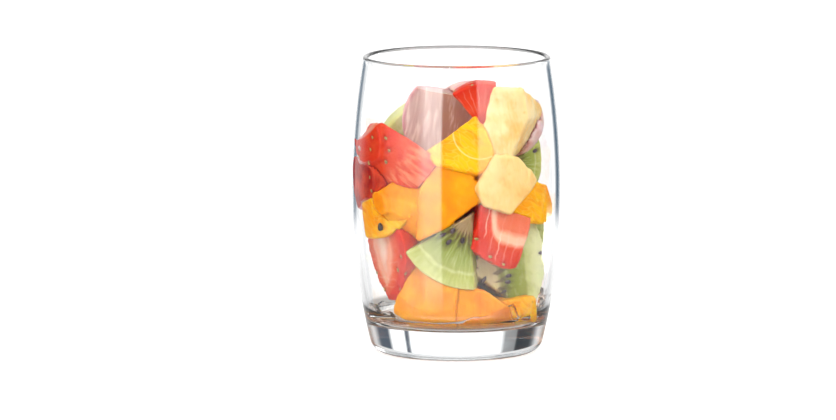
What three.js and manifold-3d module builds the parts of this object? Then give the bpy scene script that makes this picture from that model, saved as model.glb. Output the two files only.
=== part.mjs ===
// Fruit cup: cut fruit standing loose in a barrel-shaped glass tumbler.
// Millimetres, +Z up, origin on the table at the middle of the tumbler's foot; -Y is the front.
import * as THREE from "three";
import { ConvexGeometry } from "three/addons/geometries/ConvexGeometry.js";
import { mergeVertices } from "three/addons/utils/BufferGeometryUtils.js";
import Module from "manifold-3d";

// ---- Tumbler: driving dimensions ----
const HEIGHT = 106;
const BELLY_RADIUS = 37.5; // widest outer radius
const BELLY_HEIGHT = 58;
const UPPER_ARC = 281; // radius of the side's curve above the belly
const LOWER_ARC = 225; // and below it
const FOOT_FILLET = 5.5;
const WALL = 2.0;
const FLOOR_HEIGHT = 11; // the thick base
const FLOOR_FILLET = 8;
const PUNT_RADIUS = 19; // shallow hollow under the foot
const PUNT_DEPTH = 0.9;
const HEAP_ROOM = 40; // how far above the rim the fruit could reach
const TURN_SEGMENTS = 48;

// ---- Fruit: how close pieces come to the glass and to each other ----
const GLASS_GAP = 0.5;
const FRUIT_GAP = 0.35;
const CUT_EDGE = 0.9; // rounding of a knife-cut edge

const wasm = await Module();
wasm.setup();

// ---------------------------------------------------------------- solids

/** A closed three.js geometry as a manifold-3d solid. */
function solidOf(geometry) {
  const bare = geometry.clone();
  bare.deleteAttribute("normal");
  bare.deleteAttribute("uv");
  const merged = mergeVertices(bare, 1e-4);
  return new wasm.Manifold(
    new wasm.Mesh({
      numProp: 3,
      vertProperties: merged.attributes.position.array,
      triVerts: new Uint32Array(merged.index.array),
    }),
  );
}

/** A manifold-3d solid as a flat-shaded three.js geometry. */
function geometryOf(solid) {
  const mesh = solid.getMesh();
  const geometry = new THREE.BufferGeometry();
  const positions = new Float32Array(mesh.vertProperties);
  geometry.setAttribute("position", new THREE.BufferAttribute(positions, 3));
  geometry.setIndex(new THREE.BufferAttribute(mesh.triVerts, 1));
  const flat = geometry.toNonIndexed();
  flat.computeVertexNormals();
  return flat;
}

// ---------------------------------------------------------------- tumbler

/** Outer radius of the tumbler's side at a height. */
function sideRadius(z) {
  const arc = z > BELLY_HEIGHT ? UPPER_ARC : LOWER_ARC;
  const rise = z - BELLY_HEIGHT;
  return BELLY_RADIUS - (arc - Math.sqrt(arc * arc - rise * rise));
}

/** Points [radius, height] along an arc from one angle to another, in degrees. */
function arcPoints(centreR, centreZ, radius, from, to, steps) {
  const points = [];
  for (let i = 0; i <= steps; i++) {
    const a = THREE.MathUtils.degToRad(from + ((to - from) * i) / steps);
    points.push([centreR + radius * Math.cos(a), centreZ + radius * Math.sin(a)]);
  }
  return points;
}

/**
 * A rounded corner between a level line at height `level` and the side `radiusAt(z)`,
 * as points that run from the level line up to the side.
 */
function cornerPoints(radiusAt, level, fillet, steps) {
  let lean = 0; // angle of the side's slope where the fillet meets it
  let touch = level + fillet;
  for (let i = 0; i < 20; i++) {
    lean = Math.atan((radiusAt(touch + 0.05) - radiusAt(touch - 0.05)) / 0.1);
    touch = level + fillet * (1 - Math.sin(lean));
  }
  const centreR = radiusAt(touch) - fillet * Math.cos(lean);
  const end = -THREE.MathUtils.radToDeg(lean);
  return arcPoints(centreR, level + fillet, fillet, -90, end, steps);
}

/** Heights from low to high in even steps, without the two ends. */
function between(low, high, steps) {
  return Array.from({ length: steps - 1 }, (_, i) => low + ((high - low) * (i + 1)) / steps);
}

/** Closed profile of the tumbler's glass, [radius, height] from the axis below to the axis inside. */
function tumblerProfile() {
  const lip = WALL / 2;
  const lipHeight = HEIGHT - lip;
  const puntArc = (PUNT_RADIUS ** 2 + PUNT_DEPTH ** 2) / (2 * PUNT_DEPTH);
  const puntHalf = THREE.MathUtils.radToDeg(Math.asin(PUNT_RADIUS / puntArc));
  const punt = arcPoints(0, PUNT_DEPTH - puntArc, puntArc, 90, 90 - puntHalf, 3);
  const foot = cornerPoints(sideRadius, 0, FOOT_FILLET, 4);
  const footTop = foot.at(-1)[1];
  const outside = between(footTop, lipHeight, 8).map((z) => [sideRadius(z), z]);
  const lipArc = arcPoints(sideRadius(lipHeight) - lip, lipHeight, lip, 0, 180, 4);
  const bore = boreProfile(WALL);
  const inside = bore.filter(([, z]) => z < lipHeight - WALL).reverse();
  return [...punt, ...foot, ...outside, ...lipArc, ...inside];
}

/** The bore as [radius, height] points from the axis up to the rim, `inset` inside the outer side. */
function boreProfile(inset) {
  const level = FLOOR_HEIGHT + inset - WALL;
  const radiusAt = (z) => sideRadius(z) - inset;
  const corner = cornerPoints(radiusAt, level, FLOOR_FILLET, 4);
  const side = between(corner.at(-1)[1], HEIGHT, 7).map((z) => [radiusAt(z), z]);
  return [[0, level], ...corner, ...side];
}

/** A lathed solid from a [radius, height] profile that starts and ends on the axis, turned about +Z. */
function turned(profile) {
  const points = profile.map(([r, z]) => new THREE.Vector2(Math.max(r, 0), z));
  return new THREE.LatheGeometry(points, TURN_SEGMENTS).rotateX(Math.PI / 2);
}

/** The space that fruit may take: the bore, a little inside the glass, open upwards. */
function cavity() {
  const bore = boreProfile(WALL + GLASS_GAP);
  const mouth = sideRadius(HEIGHT) - WALL - GLASS_GAP;
  const above = HEIGHT + HEAP_ROOM;
  return solidOf(turned([...bore, [mouth, above], [0, above]]));
}

// ---------------------------------------------------------------- fruit shapes
// Each shape is a convex set of points in the fruit's own frame, its front towards -Y.

/** Every sum of a point and an offset: the points of the shape swept by the offsets. */
function swept(points, offsets) {
  return points.flatMap((p) => offsets.map((o) => p.clone().add(o)));
}

/** The eight corners of a cube, as offsets that grow a shape by the cube's half side. */
function cube(half) {
  const ends = [-half, half];
  return ends.flatMap((x) => ends.flatMap((y) => ends.map((z) => new THREE.Vector3(x, y, z))));
}

/** The twelve corners of a small icosahedron, as offsets that round a block's edges. */
function ball(radius) {
  const positions = new THREE.IcosahedronGeometry(radius, 0).attributes.position;
  const corners = new Map();
  for (let i = 0; i < positions.count; i++) {
    const corner = new THREE.Vector3().fromBufferAttribute(positions, i);
    corners.set(corner.toArray().map((c) => c.toFixed(3)).join(), corner);
  }
  return [...corners.values()];
}

/** The corners of a flat outline in X and Z at depth `y`, drawn in by the rounding of its edges. */
function faceCorners(outline, y) {
  const corners = outline.map(([x, z]) => new THREE.Vector2(x, z));
  const middle = corners.reduce((sum, c) => sum.add(c), new THREE.Vector2()).divideScalar(corners.length);
  return corners.map((corner) => {
    const spoke = corner.clone().sub(middle);
    const { x, y: z } = spoke.setLength(spoke.length() - CUT_EDGE).add(middle);
    return new THREE.Vector3(x, y, z);
  });
}

/**
 * A knife-cut chunk between a front and a back face, `depth` apart along Y. Each outline is in X and
 * Z. Where no back is given it is the front's outline at `taper` of its size, moved by `lean` [x, z].
 */
function chunk({ front, back, depth, taper = 0.85, lean = [0, 0] }) {
  const far = back ?? front.map(([x, z]) => [x * taper + lean[0], z * taper + lean[1]]);
  const reach = depth / 2 - CUT_EDGE;
  return swept([...faceCorners(front, -reach), ...faceCorners(far, reach)], ball(CUT_EDGE));
}

/** A plain chunk with six cut faces, `size` [x, y, z], its corners drawn off square by `skew`. */
function cubeChunk([x, y, z], skew = 0.15) {
  const [a, b] = [x / 2, z / 2];
  const front = [[-a, -b], [a * (1 - skew), -b], [a, b * (1 - skew)], [-a * (1 - skew), b]];
  return chunk({ front, depth: y, taper: 0.9, lean: [(a * skew) / 2, (-b * skew) / 2] });
}

/**
 * A cut piece of a fruit that is round about Z: from the height share `from` to `to` and `span`
 * degrees wide, the middle of its skin towards -Y. `radiusAt(t)` is the fruit's radius at a share,
 * and the cuts meet `past` mm beyond the fruit's axis.
 */
function wedge({ length, radiusAt, from, to, span, rings, steps, past = 0 }) {
  const points = [];
  for (let i = 0; i <= rings; i++) {
    const t = from + ((to - from) * i) / rings;
    const z = (t - (from + to) / 2) * length;
    points.push(new THREE.Vector3(0, past, z));
    for (let k = 0; k <= steps; k++) {
      const a = THREE.MathUtils.degToRad(-90 - span / 2 + (span * k) / steps);
      const radius = Math.max(radiusAt(t), 0.01);
      points.push(new THREE.Vector3(radius * Math.cos(a), radius * Math.sin(a), z));
    }
  }
  return points;
}

/** A piece of a peeled kiwi: cut across, then into `span` degrees. */
function kiwi({ radius = 25, from = 0.36, to = 0.54, span = 65, past = 0 }) {
  const radiusAt = (t) => radius * Math.sqrt(1 - (2 * t - 1) ** 2);
  return wedge({ length: radius * 2.5, radiusAt, from, to, span, rings: 3, steps: 9, past });
}

/** A piece of a large red grape cut lengthways. */
function grape({ radius = 12.5, from = 0, to = 1, span = 180 }) {
  const radiusAt = (t) => radius * Math.sqrt(1 - (2 * t - 1) ** 2);
  return wedge({ length: radius * 2.3, radiusAt, from, to, span, rings: 7, steps: 8 });
}

/** A piece of a strawberry without its leaves: Z points to the tip. */
function strawberry({ radius = 16, from = 0.14, to = 1, span = 180 }) {
  const radiusAt = (t) => radius * Math.sin(Math.PI * t ** 0.62) ** 0.8;
  return wedge({ length: radius * 2.5, radiusAt, from, to: to - 1e-6, span, rings: 7, steps: 8 });
}

// ---------------------------------------------------------------- the pieces
const FLESH = {
  strawberry: { color: 0xd8321f, roughness: 0.35 },
  kiwi: { color: 0x9db443, roughness: 0.35 },
  mango: { color: 0xf9a51a, roughness: 0.4 },
  orange: { color: 0xfdb813, roughness: 0.4 },
  pineapple: { color: 0xfbdf92, roughness: 0.45 },
  grape: { color: 0xa8615a, roughness: 0.3 },
};

// Each piece's own origin lies at `at`, its Z points along `axis` and its front looks along `face`.
// A piece is trimmed where one before it in this list already lies, so the front ones come first.
const FRONT = [
  {
    name: "kiwi_wedge_front",
    shape: kiwi({ radius: 26.5, from: 0.4, to: 0.57, span: 62 }),
    at: [5.4, -25.9, 52.8],
    axis: [0.15, 0.98, 0.05],
    face: [-0.474, 0.08, -0.88],
  },
  {
    name: "strawberry_slice_front",
    shape: strawberry({ radius: 19.3, from: 0.2, to: 0.58, span: 90 }),
    at: [17.2, -25.5, 53.6],
    axis: [-0.91, -0.3, 0.31],
    face: [-0.38, 0.467, -0.79],
  },
  {
    name: "strawberry_half_lower_left",
    shape: strawberry({ radius: 12.8, from: 0.06, to: 0.92 }),
    at: [-23.9, -16.4, 34.4],
    axis: [0.12, 0, -0.99],
    face: [0.85, 0.5, -0.1],
  },
  {
    name: "kiwi_wedge_lower_right",
    shape: kiwi({ radius: 27, span: 88, past: 5 }),
    at: [5.3, -18.2, 33.6],
    axis: [-0.5, 0.866, 0],
    face: [0.866, 0.5, 0.0],
  },
  {
    name: "mango_chunk_centre",
    shape: chunk({
      front: [[-12, 5], [-5.4, 13], [5, 10.4], [12.5, 4], [8.3, -0.3], [-4.2, -9.2], [-12.5, -13]],
      depth: 18,
      lean: [2, 3],
    }),
    at: [-1.1, -20.2, 55.4],
    axis: [0, 0.2, 0.98],
    face: [0, -0.98, 0.2],
  },
  {
    name: "mango_slab_left",
    shape: chunk({
      front: [[-8, 5.4], [9.5, 0.8], [9, -4], [0, -2.4], [-7.9, 1.6]],
      back: [[-10.6, 5.6], [-2.3, 11], [2.2, 13.4], [8, 9], [8, -10], [1.5, -12], [-4, -6.5], [-9.5, 0.5]],
      depth: 8,
    }),
    at: [-19.2, -22.2, 54],
    axis: [0, 0.1, 0.99],
    face: [-0.3, -0.93, 0.1],
  },
  {
    name: "pineapple_chunk_middle",
    shape: chunk({
      front: [[-4.2, 9.8], [4, 9], [10.4, 1], [5.4, -6], [0.6, -11.4], [-8.5, -8.6], [-11.4, -2.5]],
      depth: 17,
    }),
    at: [14.9, -19.2, 62.9],
    axis: [0, 0.15, 0.98],
    face: [0.35, -0.92, 0.15],
  },
  {
    name: "strawberry_half_left",
    shape: strawberry({ radius: 19, from: 0.3, to: 0.77 }),
    at: [-19.2, -8.7, 76.2],
    axis: [-0.8, -0.1, 0.6],
    face: [-0.6, -0.24, -0.8],
  },
  {
    name: "orange_chunk_upper",
    shape: chunk({
      front: [[-12.2, -3.1], [5.1, 10.6], [8.3, 6], [11.5, -3], [9.8, -8.2], [5.7, -10.6], [-9.2, -7]],
      depth: 16,
    }),
    at: [1.1, -17.5, 74.4],
    axis: [0, 0.36, 0.93],
    face: [0.05, -0.93, 0.36],
  },
  {
    name: "strawberry_wedge_top",
    shape: strawberry({ radius: 16.4, from: 0.25, to: 0.6, span: 56 }),
    at: [9, -9, 82.4],
    axis: [0, 0.99, 0.1],
    face: [-0.2, 0, 0.98],
  },
  {
    name: "pineapple_chunk_top",
    shape: chunk({
      front: [[-7, 13.2], [2, 13], [4.4, 3.2], [-2.6, -12.6], [-6.4, -11.5], [-11, -8.1], [-11.4, -1]],
      back: [[-4, 12], [2.4, 11], [10.5, 4.6], [8.5, -2.5], [1, -12], [-8, -6]],
      depth: 18,
    }),
    at: [20, -13, 83.4],
    axis: [0, 0.05, 0.99],
    face: [0.05, -0.99, 0.05],
  },
  {
    name: "orange_chunk_right",
    shape: chunk({
      front: [[-2, 8], [4, 5.7], [8.5, -1.5], [8.3, -7.4], [-1.3, -8], [-9, -3.3], [-10, 4]],
      depth: 16,
    }),
    at: [22.2, -13.6, 55.8],
    axis: [0, 0.1, 0.99],
    face: [0.6, -0.8, 0.1],
  },
  {
    name: "orange_chunk_left",
    shape: chunk({
      front: [[-12, 4.5], [-5.5, 7.4], [5, 5], [10, 1.5], [5.5, -2.5], [-1.5, -6.5], [-10, -7.4]],
      depth: 16,
    }),
    at: [-19.6, -16.4, 50.6],
    axis: [0, 0, 1],
    face: [-0.55, -0.83, 0],
  },
  {
    name: "strawberry_piece_left_low",
    shape: strawberry({ radius: 12, from: 0.14, to: 0.8, span: 150 }),
    at: [-25, -10, 61],
    axis: [-0.3, -0.3, -0.9],
    face: [-0.7, -0.7, 0],
  },
  {
    name: "mango_chunk_bottom_left",
    shape: chunk({
      front: [[-12.2, -8], [-8, -0.6], [-2.7, 8.3], [0.3, 10.1], [12.2, 0.6], [10.5, -14], [-4, -14]],
      depth: 20,
    }),
    at: [-9, -17.5, 23.4],
    axis: [0, 0.35, 0.93],
    face: [-0.25, -0.9, 0.35],
  },
  {
    name: "mango_chunk_bottom_middle",
    shape: chunk({ front: [[-12, 6.5], [-0.5, 4.5], [8, -1.7], [11, -10], [-10, -10]], depth: 20 }),
    at: [8.5, -18.5, 20.5],
    axis: [0, 0.1, 1],
    face: [0.15, -0.98, 0.1],
  },
  {
    name: "orange_chunk_bottom_right",
    shape: chunk({ front: [[-9, 0.5], [4, 1.8], [7, -10], [-9, -10]], depth: 18 }),
    at: [18.5, -12, 20.5],
    axis: [0, 0, 1],
    face: [0.5, -0.85, 0],
  },
  {
    name: "grape_half_upper_left",
    shape: grape({ radius: 13.5, to: 0.8 }),
    at: [-6, -6, 81],
    axis: [0.17, 0, 0.98],
    face: [-0.08, 1, -0.1],
  },
  {
    name: "grape_half_right",
    shape: grape({ radius: 12.5 }),
    at: [18.4, -1, 82.7],
    axis: [0.1, 0.97, 0.2],
    face: [0.5, -0.1, -0.85],
  },
  {
    name: "grape_half_top",
    shape: grape({ radius: 12 }),
    at: [5, 6, 84],
    axis: [1, 0.1, 0],
    face: [0, -0.2, 1],
  },
  {
    name: "kiwi_wedge_upper_left",
    shape: kiwi({ radius: 25.5, span: 75 }),
    at: [-5, 4.5, 66],
    axis: [0, 1, 0.05],
    face: [-0.77, 0, 0.64],
  },
  {
    name: "kiwi_wedge_right",
    shape: kiwi({ radius: 18, span: 85 }),
    at: [15.5, -4.5, 68.5],
    axis: [-0.7, 0.7, 0],
    face: [0.7, 0.7, -0.3],
  },
  {
    name: "kiwi_wedge_right_low",
    shape: kiwi({ radius: 22, span: 75 }),
    at: [12.5, -6.5, 45],
    axis: [-0.4, 0.8, 0.3],
    face: [0.9, 0.4, -0.1],
  },
];

const BACK = [
  {
    name: "pineapple_chunk_right_low",
    shape: cubeChunk([20, 17, 19]),
    at: [18.5, 5, 26],
    axis: [0.1, 0, 1],
    face: [1, 0.3, 0],
  },
  {
    name: "mango_chunk_back_low",
    shape: cubeChunk([24, 18, 20]),
    at: [9, 19.5, 23],
    axis: [0, 0.1, 1],
    face: [0.3, 1, 0],
  },
  {
    name: "orange_chunk_back_low",
    shape: cubeChunk([21, 17, 18]),
    at: [-10, 16.5, 22.5],
    axis: [0.1, 0, 1],
    face: [-0.5, 0.8, 0],
  },
  {
    name: "kiwi_wedge_left_low",
    shape: kiwi({ radius: 24, span: 75 }),
    at: [-13, 1.5, 42],
    axis: [0.85, 0.5, 0.1],
    face: [-0.25, 0.4, -0.88],
  },
  {
    name: "strawberry_half_back",
    shape: strawberry({ radius: 15 }),
    at: [6, 18, 44],
    axis: [0.7, 0.2, -0.7],
    face: [0.3, 1, 0],
  },
  {
    name: "mango_chunk_right",
    shape: cubeChunk([19, 17, 20]),
    at: [21.5, 11, 47],
    axis: [0.2, 0.2, 1],
    face: [1, 0.5, 0],
  },
  {
    name: "kiwi_wedge_back",
    shape: kiwi({ radius: 25, span: 68 }),
    at: [-4, 27, 62],
    axis: [0.25, -0.97, 0],
    face: [-0.4, 0, -0.9],
  },
  {
    name: "pineapple_chunk_left",
    shape: cubeChunk([20, 18, 20]),
    at: [-21.5, 9.5, 57],
    axis: [0.1, 0.2, 1],
    face: [-1, 0.3, 0],
  },
  {
    name: "orange_chunk_back",
    shape: cubeChunk([23, 17, 20]),
    at: [13, 18, 62],
    axis: [0.2, 0, 1],
    face: [0.5, 0.85, 0.1],
  },
  {
    name: "strawberry_half_right_back",
    shape: strawberry({ radius: 13.5 }),
    at: [18, 13.5, 71],
    axis: [0.5, 0.5, -0.7],
    face: [0.6, 0.6, 0.4],
  },
  {
    name: "mango_chunk_back_upper",
    shape: cubeChunk([24, 18, 18]),
    at: [-11, 18, 70],
    axis: [0.2, 0.3, 1],
    face: [-0.4, 0.9, 0.1],
  },
  {
    name: "pineapple_chunk_back_top",
    shape: cubeChunk([21, 18, 16]),
    at: [13, 15, 80.5],
    axis: [0.1, -0.2, 1],
    face: [0.4, 0.9, 0.2],
  },
  {
    name: "strawberry_quarter_back_top",
    shape: strawberry({ radius: 15, span: 120 }),
    at: [-5, 12, 77],
    axis: [-0.9, 0.2, -0.25],
    face: [-0.25, 0.5, 0.85],
  },
  {
    name: "mango_chunk_core_low",
    shape: cubeChunk([22, 20, 20]),
    at: [0, 2, 26],
    axis: [0.1, 0.1, 1],
    face: [0.2, -1, 0],
  },
  {
    name: "pineapple_chunk_core",
    shape: cubeChunk([20, 20, 20]),
    at: [2, 1, 47],
    axis: [0.2, 0.1, 1],
    face: [0.3, -1, 0],
  },
  {
    name: "orange_chunk_core_high",
    shape: cubeChunk([20, 18, 20]),
    at: [3, 2, 67],
    axis: [0.1, 0.2, 1],
    face: [0.1, -1, 0],
  },
];

const PIECES = [...FRONT, ...BACK];

/** The rotation that turns a piece's Z to `axis` and its front to `face`. */
function aim(axis, face) {
  const z = new THREE.Vector3(...axis).normalize();
  const y = new THREE.Vector3(...face).negate();
  y.addScaledVector(z, -y.dot(z)).normalize();
  return new THREE.Matrix4().makeBasis(new THREE.Vector3().crossVectors(y, z), y, z);
}

/** The largest body of a solid that trimming may have split. */
function largest(solid) {
  return solid.decompose().reduce((a, b) => (a.volume() > b.volume() ? a : b));
}

/** The fruit pieces, each trimmed to the tumbler's bore and to the pieces before it. */
function fruitMeshes() {
  const room = cavity();
  const taken = [];
  return PIECES.map(({ name, shape, at, axis, face }) => {
    const matrix = aim(axis, face).setPosition(...at);
    const placed = (points) => solidOf(new ConvexGeometry(points).applyMatrix4(matrix));
    const free = taken.reduce((solid, other) => solid.subtract(other), placed(shape).intersect(room));
    taken.push(placed(swept(shape, cube(FRUIT_GAP))));
    const geometry = geometryOf(largest(free)).applyMatrix4(matrix.clone().invert());
    const flesh = new THREE.MeshStandardMaterial({ ...FLESH[name.split("_")[0]], metalness: 0 });
    const mesh = new THREE.Mesh(geometry, flesh);
    mesh.name = name;
    matrix.decompose(mesh.position, mesh.quaternion, mesh.scale);
    return mesh;
  });
}

function tumblerMesh() {
  const glass = new THREE.MeshStandardMaterial({
    color: 0xf4f9fb,
    roughness: 0.03,
    metalness: 0,
    transparent: true,
    opacity: 0.25,
  });
  const mesh = new THREE.Mesh(turned(tumblerProfile()), glass);
  mesh.name = "tumbler";
  return mesh;
}

const fruitCup = new THREE.Group();
fruitCup.add(tumblerMesh(), ...fruitMeshes());
export default fruitCup;
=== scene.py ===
"""Fruit cup: cut fruit heaped in a barrel-shaped glass tumbler, dressed around its CAD frame.

Fields and tables hold millimetres and degrees. Blender's own objects are in metres.
"""

import itertools
import logging
import math
from collections.abc import Sequence
from dataclasses import dataclass, field, replace
from enum import Enum

import bpy
import numpy as np
from bpy.types import ID, ColorRamp, Material, Mesh, Object, World, bpy_prop_collection
from bpy.types import NodeSocket as Socket
from mathutils import Matrix, Vector
from mathutils.bvhtree import BVHTree


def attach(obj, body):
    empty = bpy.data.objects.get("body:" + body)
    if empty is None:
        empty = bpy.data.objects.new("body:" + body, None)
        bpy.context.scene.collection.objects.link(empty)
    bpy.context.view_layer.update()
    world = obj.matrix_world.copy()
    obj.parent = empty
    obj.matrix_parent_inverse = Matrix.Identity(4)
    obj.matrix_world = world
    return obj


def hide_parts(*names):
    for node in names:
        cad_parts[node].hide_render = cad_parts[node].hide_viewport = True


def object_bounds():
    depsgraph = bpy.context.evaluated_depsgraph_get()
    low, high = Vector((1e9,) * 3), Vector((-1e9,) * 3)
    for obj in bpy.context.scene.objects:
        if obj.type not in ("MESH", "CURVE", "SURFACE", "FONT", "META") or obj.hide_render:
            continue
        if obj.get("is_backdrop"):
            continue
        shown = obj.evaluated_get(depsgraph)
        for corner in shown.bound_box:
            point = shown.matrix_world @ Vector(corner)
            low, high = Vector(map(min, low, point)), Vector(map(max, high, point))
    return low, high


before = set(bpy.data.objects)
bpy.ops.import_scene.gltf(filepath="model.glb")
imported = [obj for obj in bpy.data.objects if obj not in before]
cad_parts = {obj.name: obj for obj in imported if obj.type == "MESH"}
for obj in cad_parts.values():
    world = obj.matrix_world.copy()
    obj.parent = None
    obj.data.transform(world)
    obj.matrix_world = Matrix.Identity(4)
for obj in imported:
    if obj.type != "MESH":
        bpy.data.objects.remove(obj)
cad_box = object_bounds()

log = logging.getLogger("fruit_cup")

MM = 0.001
BODY = "root"
CAMERA_ELEVATION = 7.8  # degrees above the table

Array = np.ndarray
Vec3 = tuple[float, float, float]
Colour = tuple[float, float, float, float]
Outline = list[tuple[float, float]]  # radius and height in mm
Stops = Sequence[tuple[float, str | float]]  # places, each with hex digits or a share
Faces = list[tuple[int, ...]]
Marks = dict[str, Array]  # a value for each point of a mesh, by attribute name


# ---------------------------------------------------------------- small tools


def linear(code: str) -> Colour:
    """An sRGB hex colour as linear red, green, blue and alpha.

    Args:
        code: Six hex digits, such as "F7A41D".

    Returns:
        The colour as Blender's sockets take it.
    """
    shares = [int(code[i : i + 2], 16) / 255 for i in (0, 2, 4)]
    lit = (c / 12.92 if c <= 0.04045 else ((c + 0.055) / 1.055) ** 2.4 for c in shares)
    return (*lit, 1.0)


def grey(level: float) -> Colour:
    """A grey of one linear level."""
    return (level, level, level, 1.0)


def smooth_step(low: float, high: float, values: Array) -> Array:
    """A smooth ramp from 0 at `low` to 1 at `high`.

    Args:
        low: Where the ramp starts; it may be above `high` for a falling ramp.
        high: Where it ends.
        values: The numbers to read the ramp at.

    Returns:
        The ramp's height at each value.
    """
    share = np.clip((values - low) / (high - low), 0, 1)
    return share * share * (3 - 2 * share)


def unit(vectors: Array) -> Array:
    """Each row scaled to length one."""
    return vectors / np.maximum(np.linalg.norm(vectors, axis=-1, keepdims=True), 1e-9)


def look_direction(azimuth: float, elevation: float) -> Vector:
    """The direction from the object: degrees from the front (-Y) towards +X, and above the table."""
    a, e = math.radians(azimuth), math.radians(elevation)
    return Vector((math.sin(a) * math.cos(e), -math.cos(a) * math.cos(e), math.sin(e)))


class Noise:
    """Smooth lattice noise with one fixed seed, so that a point always gives the same value."""

    CELLS = 32

    def __init__(self, seed: int) -> None:
        """Fills the lattice with the pattern of this seed."""
        self.table = np.random.default_rng(seed).random((self.CELLS,) * 3)

    def at(self, points: Array, size: float | Vec3) -> Array:
        """The noise at some points.

        Args:
            points: Rows of X, Y and Z in mm.
            size: The grain's size in mm, one number or one for each axis.

        Returns:
            Values from -1 to 1.
        """
        scaled = points / np.asarray(size, float)
        low = np.floor(scaled).astype(int)
        part = scaled - low
        part = part * part * (3 - 2 * part)
        total = np.zeros(len(points))
        for corner in itertools.product((0, 1), repeat=3):
            weight = np.prod(np.where(corner, part, 1 - part), axis=1)
            i, j, k = ((low + corner) % self.CELLS).T
            total += weight * self.table[i, j, k]
        return 2 * total - 1


class Shader:
    """A material's or a world's node tree."""

    def __init__(self, owner: Material | World) -> None:
        """Empties the tree.

        Args:
            owner: The material or world that holds it.
        """
        owner.use_nodes = True
        self.owner = owner
        self.tree = owner.node_tree
        self.tree.nodes.clear()

    def add(self, kind: str, *inputs: object, out: str | int = 0, **named: object) -> Socket | None:
        """Adds a node with its settings, values and links.

        Args:
            kind: The node's type without "ShaderNode", with its operation, if any, after a dot.
            *inputs: What goes into its first inputs: a socket to link, hex digits or a value.
            out: Which output to return, by name or number.
            **named: Other inputs by name, with "_" for a space. `From` and `To` take a pair for
                their Min and Max, and `stops` fills a colour ramp. A name in small letters is one
                of the node's own settings.

        Returns:
            The output's socket, or None from a node without outputs.
        """
        kind, _, operation = kind.partition(".")
        node = self.tree.nodes.new("ShaderNode" + kind)
        if operation:
            node.operation = operation
        fed = dict(enumerate(inputs))
        for key, value in named.items():
            if key == "stops":
                self.fill(node.color_ramp, value)
            elif key in ("From", "To"):
                fed[key + " Min"], fed[key + " Max"] = value
            elif key[0].isupper():
                fed[key.replace("_", " ")] = value
            else:
                setattr(node, key, value)
        for key, value in fed.items():
            if isinstance(value, Socket):
                self.tree.links.new(value, node.inputs[key])
            else:
                node.inputs[key].default_value = linear(value) if isinstance(value, str) else value
        return node.outputs[out] if node.outputs else None

    def fill(self, ramp: ColorRamp, stops: Stops) -> None:
        """Fills a colour ramp.

        Args:
            ramp: A new node's ramp.
            stops: Rising places, each with hex digits or a grey level.
        """
        ramp.elements.remove(ramp.elements[-1])
        for i, (place, colour) in enumerate(stops):
            element = ramp.elements.new(place) if i else ramp.elements[0]
            element.position = place
            element.color = linear(colour) if isinstance(colour, str) else grey(colour)


def add_object(name: str, data: ID) -> Object:
    """A new object that holds this data, linked to the scene.

    Args:
        name: Its name.
        data: A mesh, a lamp or a camera.

    Returns:
        The object.
    """
    made = bpy.data.objects.new(name, data)
    bpy.context.scene.collection.objects.link(made)
    return made


def mesh_object(
    name: str, points: Array, faces: Faces, material: Material
) -> Object:
    """A smooth-shaded mesh object.

    Args:
        name: Its name.
        points: Corners in metres, in the object's own frame.
        faces: Corner numbers of each face, turned so that the faces look out.
        material: What it is made of.

    Returns:
        The object, linked to the scene.
    """
    mesh = bpy.data.meshes.new(name)
    mesh.from_pydata(points.tolist(), [], faces)
    mesh.shade_smooth()
    mesh.materials.append(material)
    return add_object(name, mesh)


def mesh_rows(items: bpy_prop_collection, name: str, width: int, kind: type) -> Array:
    """One property of all of a mesh's points, edges or triangles.

    Args:
        items: The points, edges or triangles.
        name: The property.
        width: How many numbers it holds.
        kind: `float` or `int`.

    Returns:
        A row for each of them.
    """
    flat = np.zeros(len(items) * width, kind)
    items.foreach_get(name, flat)
    return flat.reshape(-1, width)


def ring_faces(rings: int, count: int) -> Faces:
    """The faces of a closed body made of rings of points, with one point after them for each end.

    Args:
        rings: How many rings lie between the two ends.
        count: How many points a ring has.

    Returns:
        Corner numbers of each face.
    """
    start, end, last = rings * count, rings * count + 1, (rings - 1) * count
    faces: Faces = []
    for j in range(count):
        k = (j + 1) % count
        faces += [(i + j, i + k, i + count + k, i + count + j) for i in range(0, last, count)]
        faces += [(start, k, j), (end, last + j, last + k)]
    return faces


# ---------------------------------------------------------------- finishes


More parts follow.
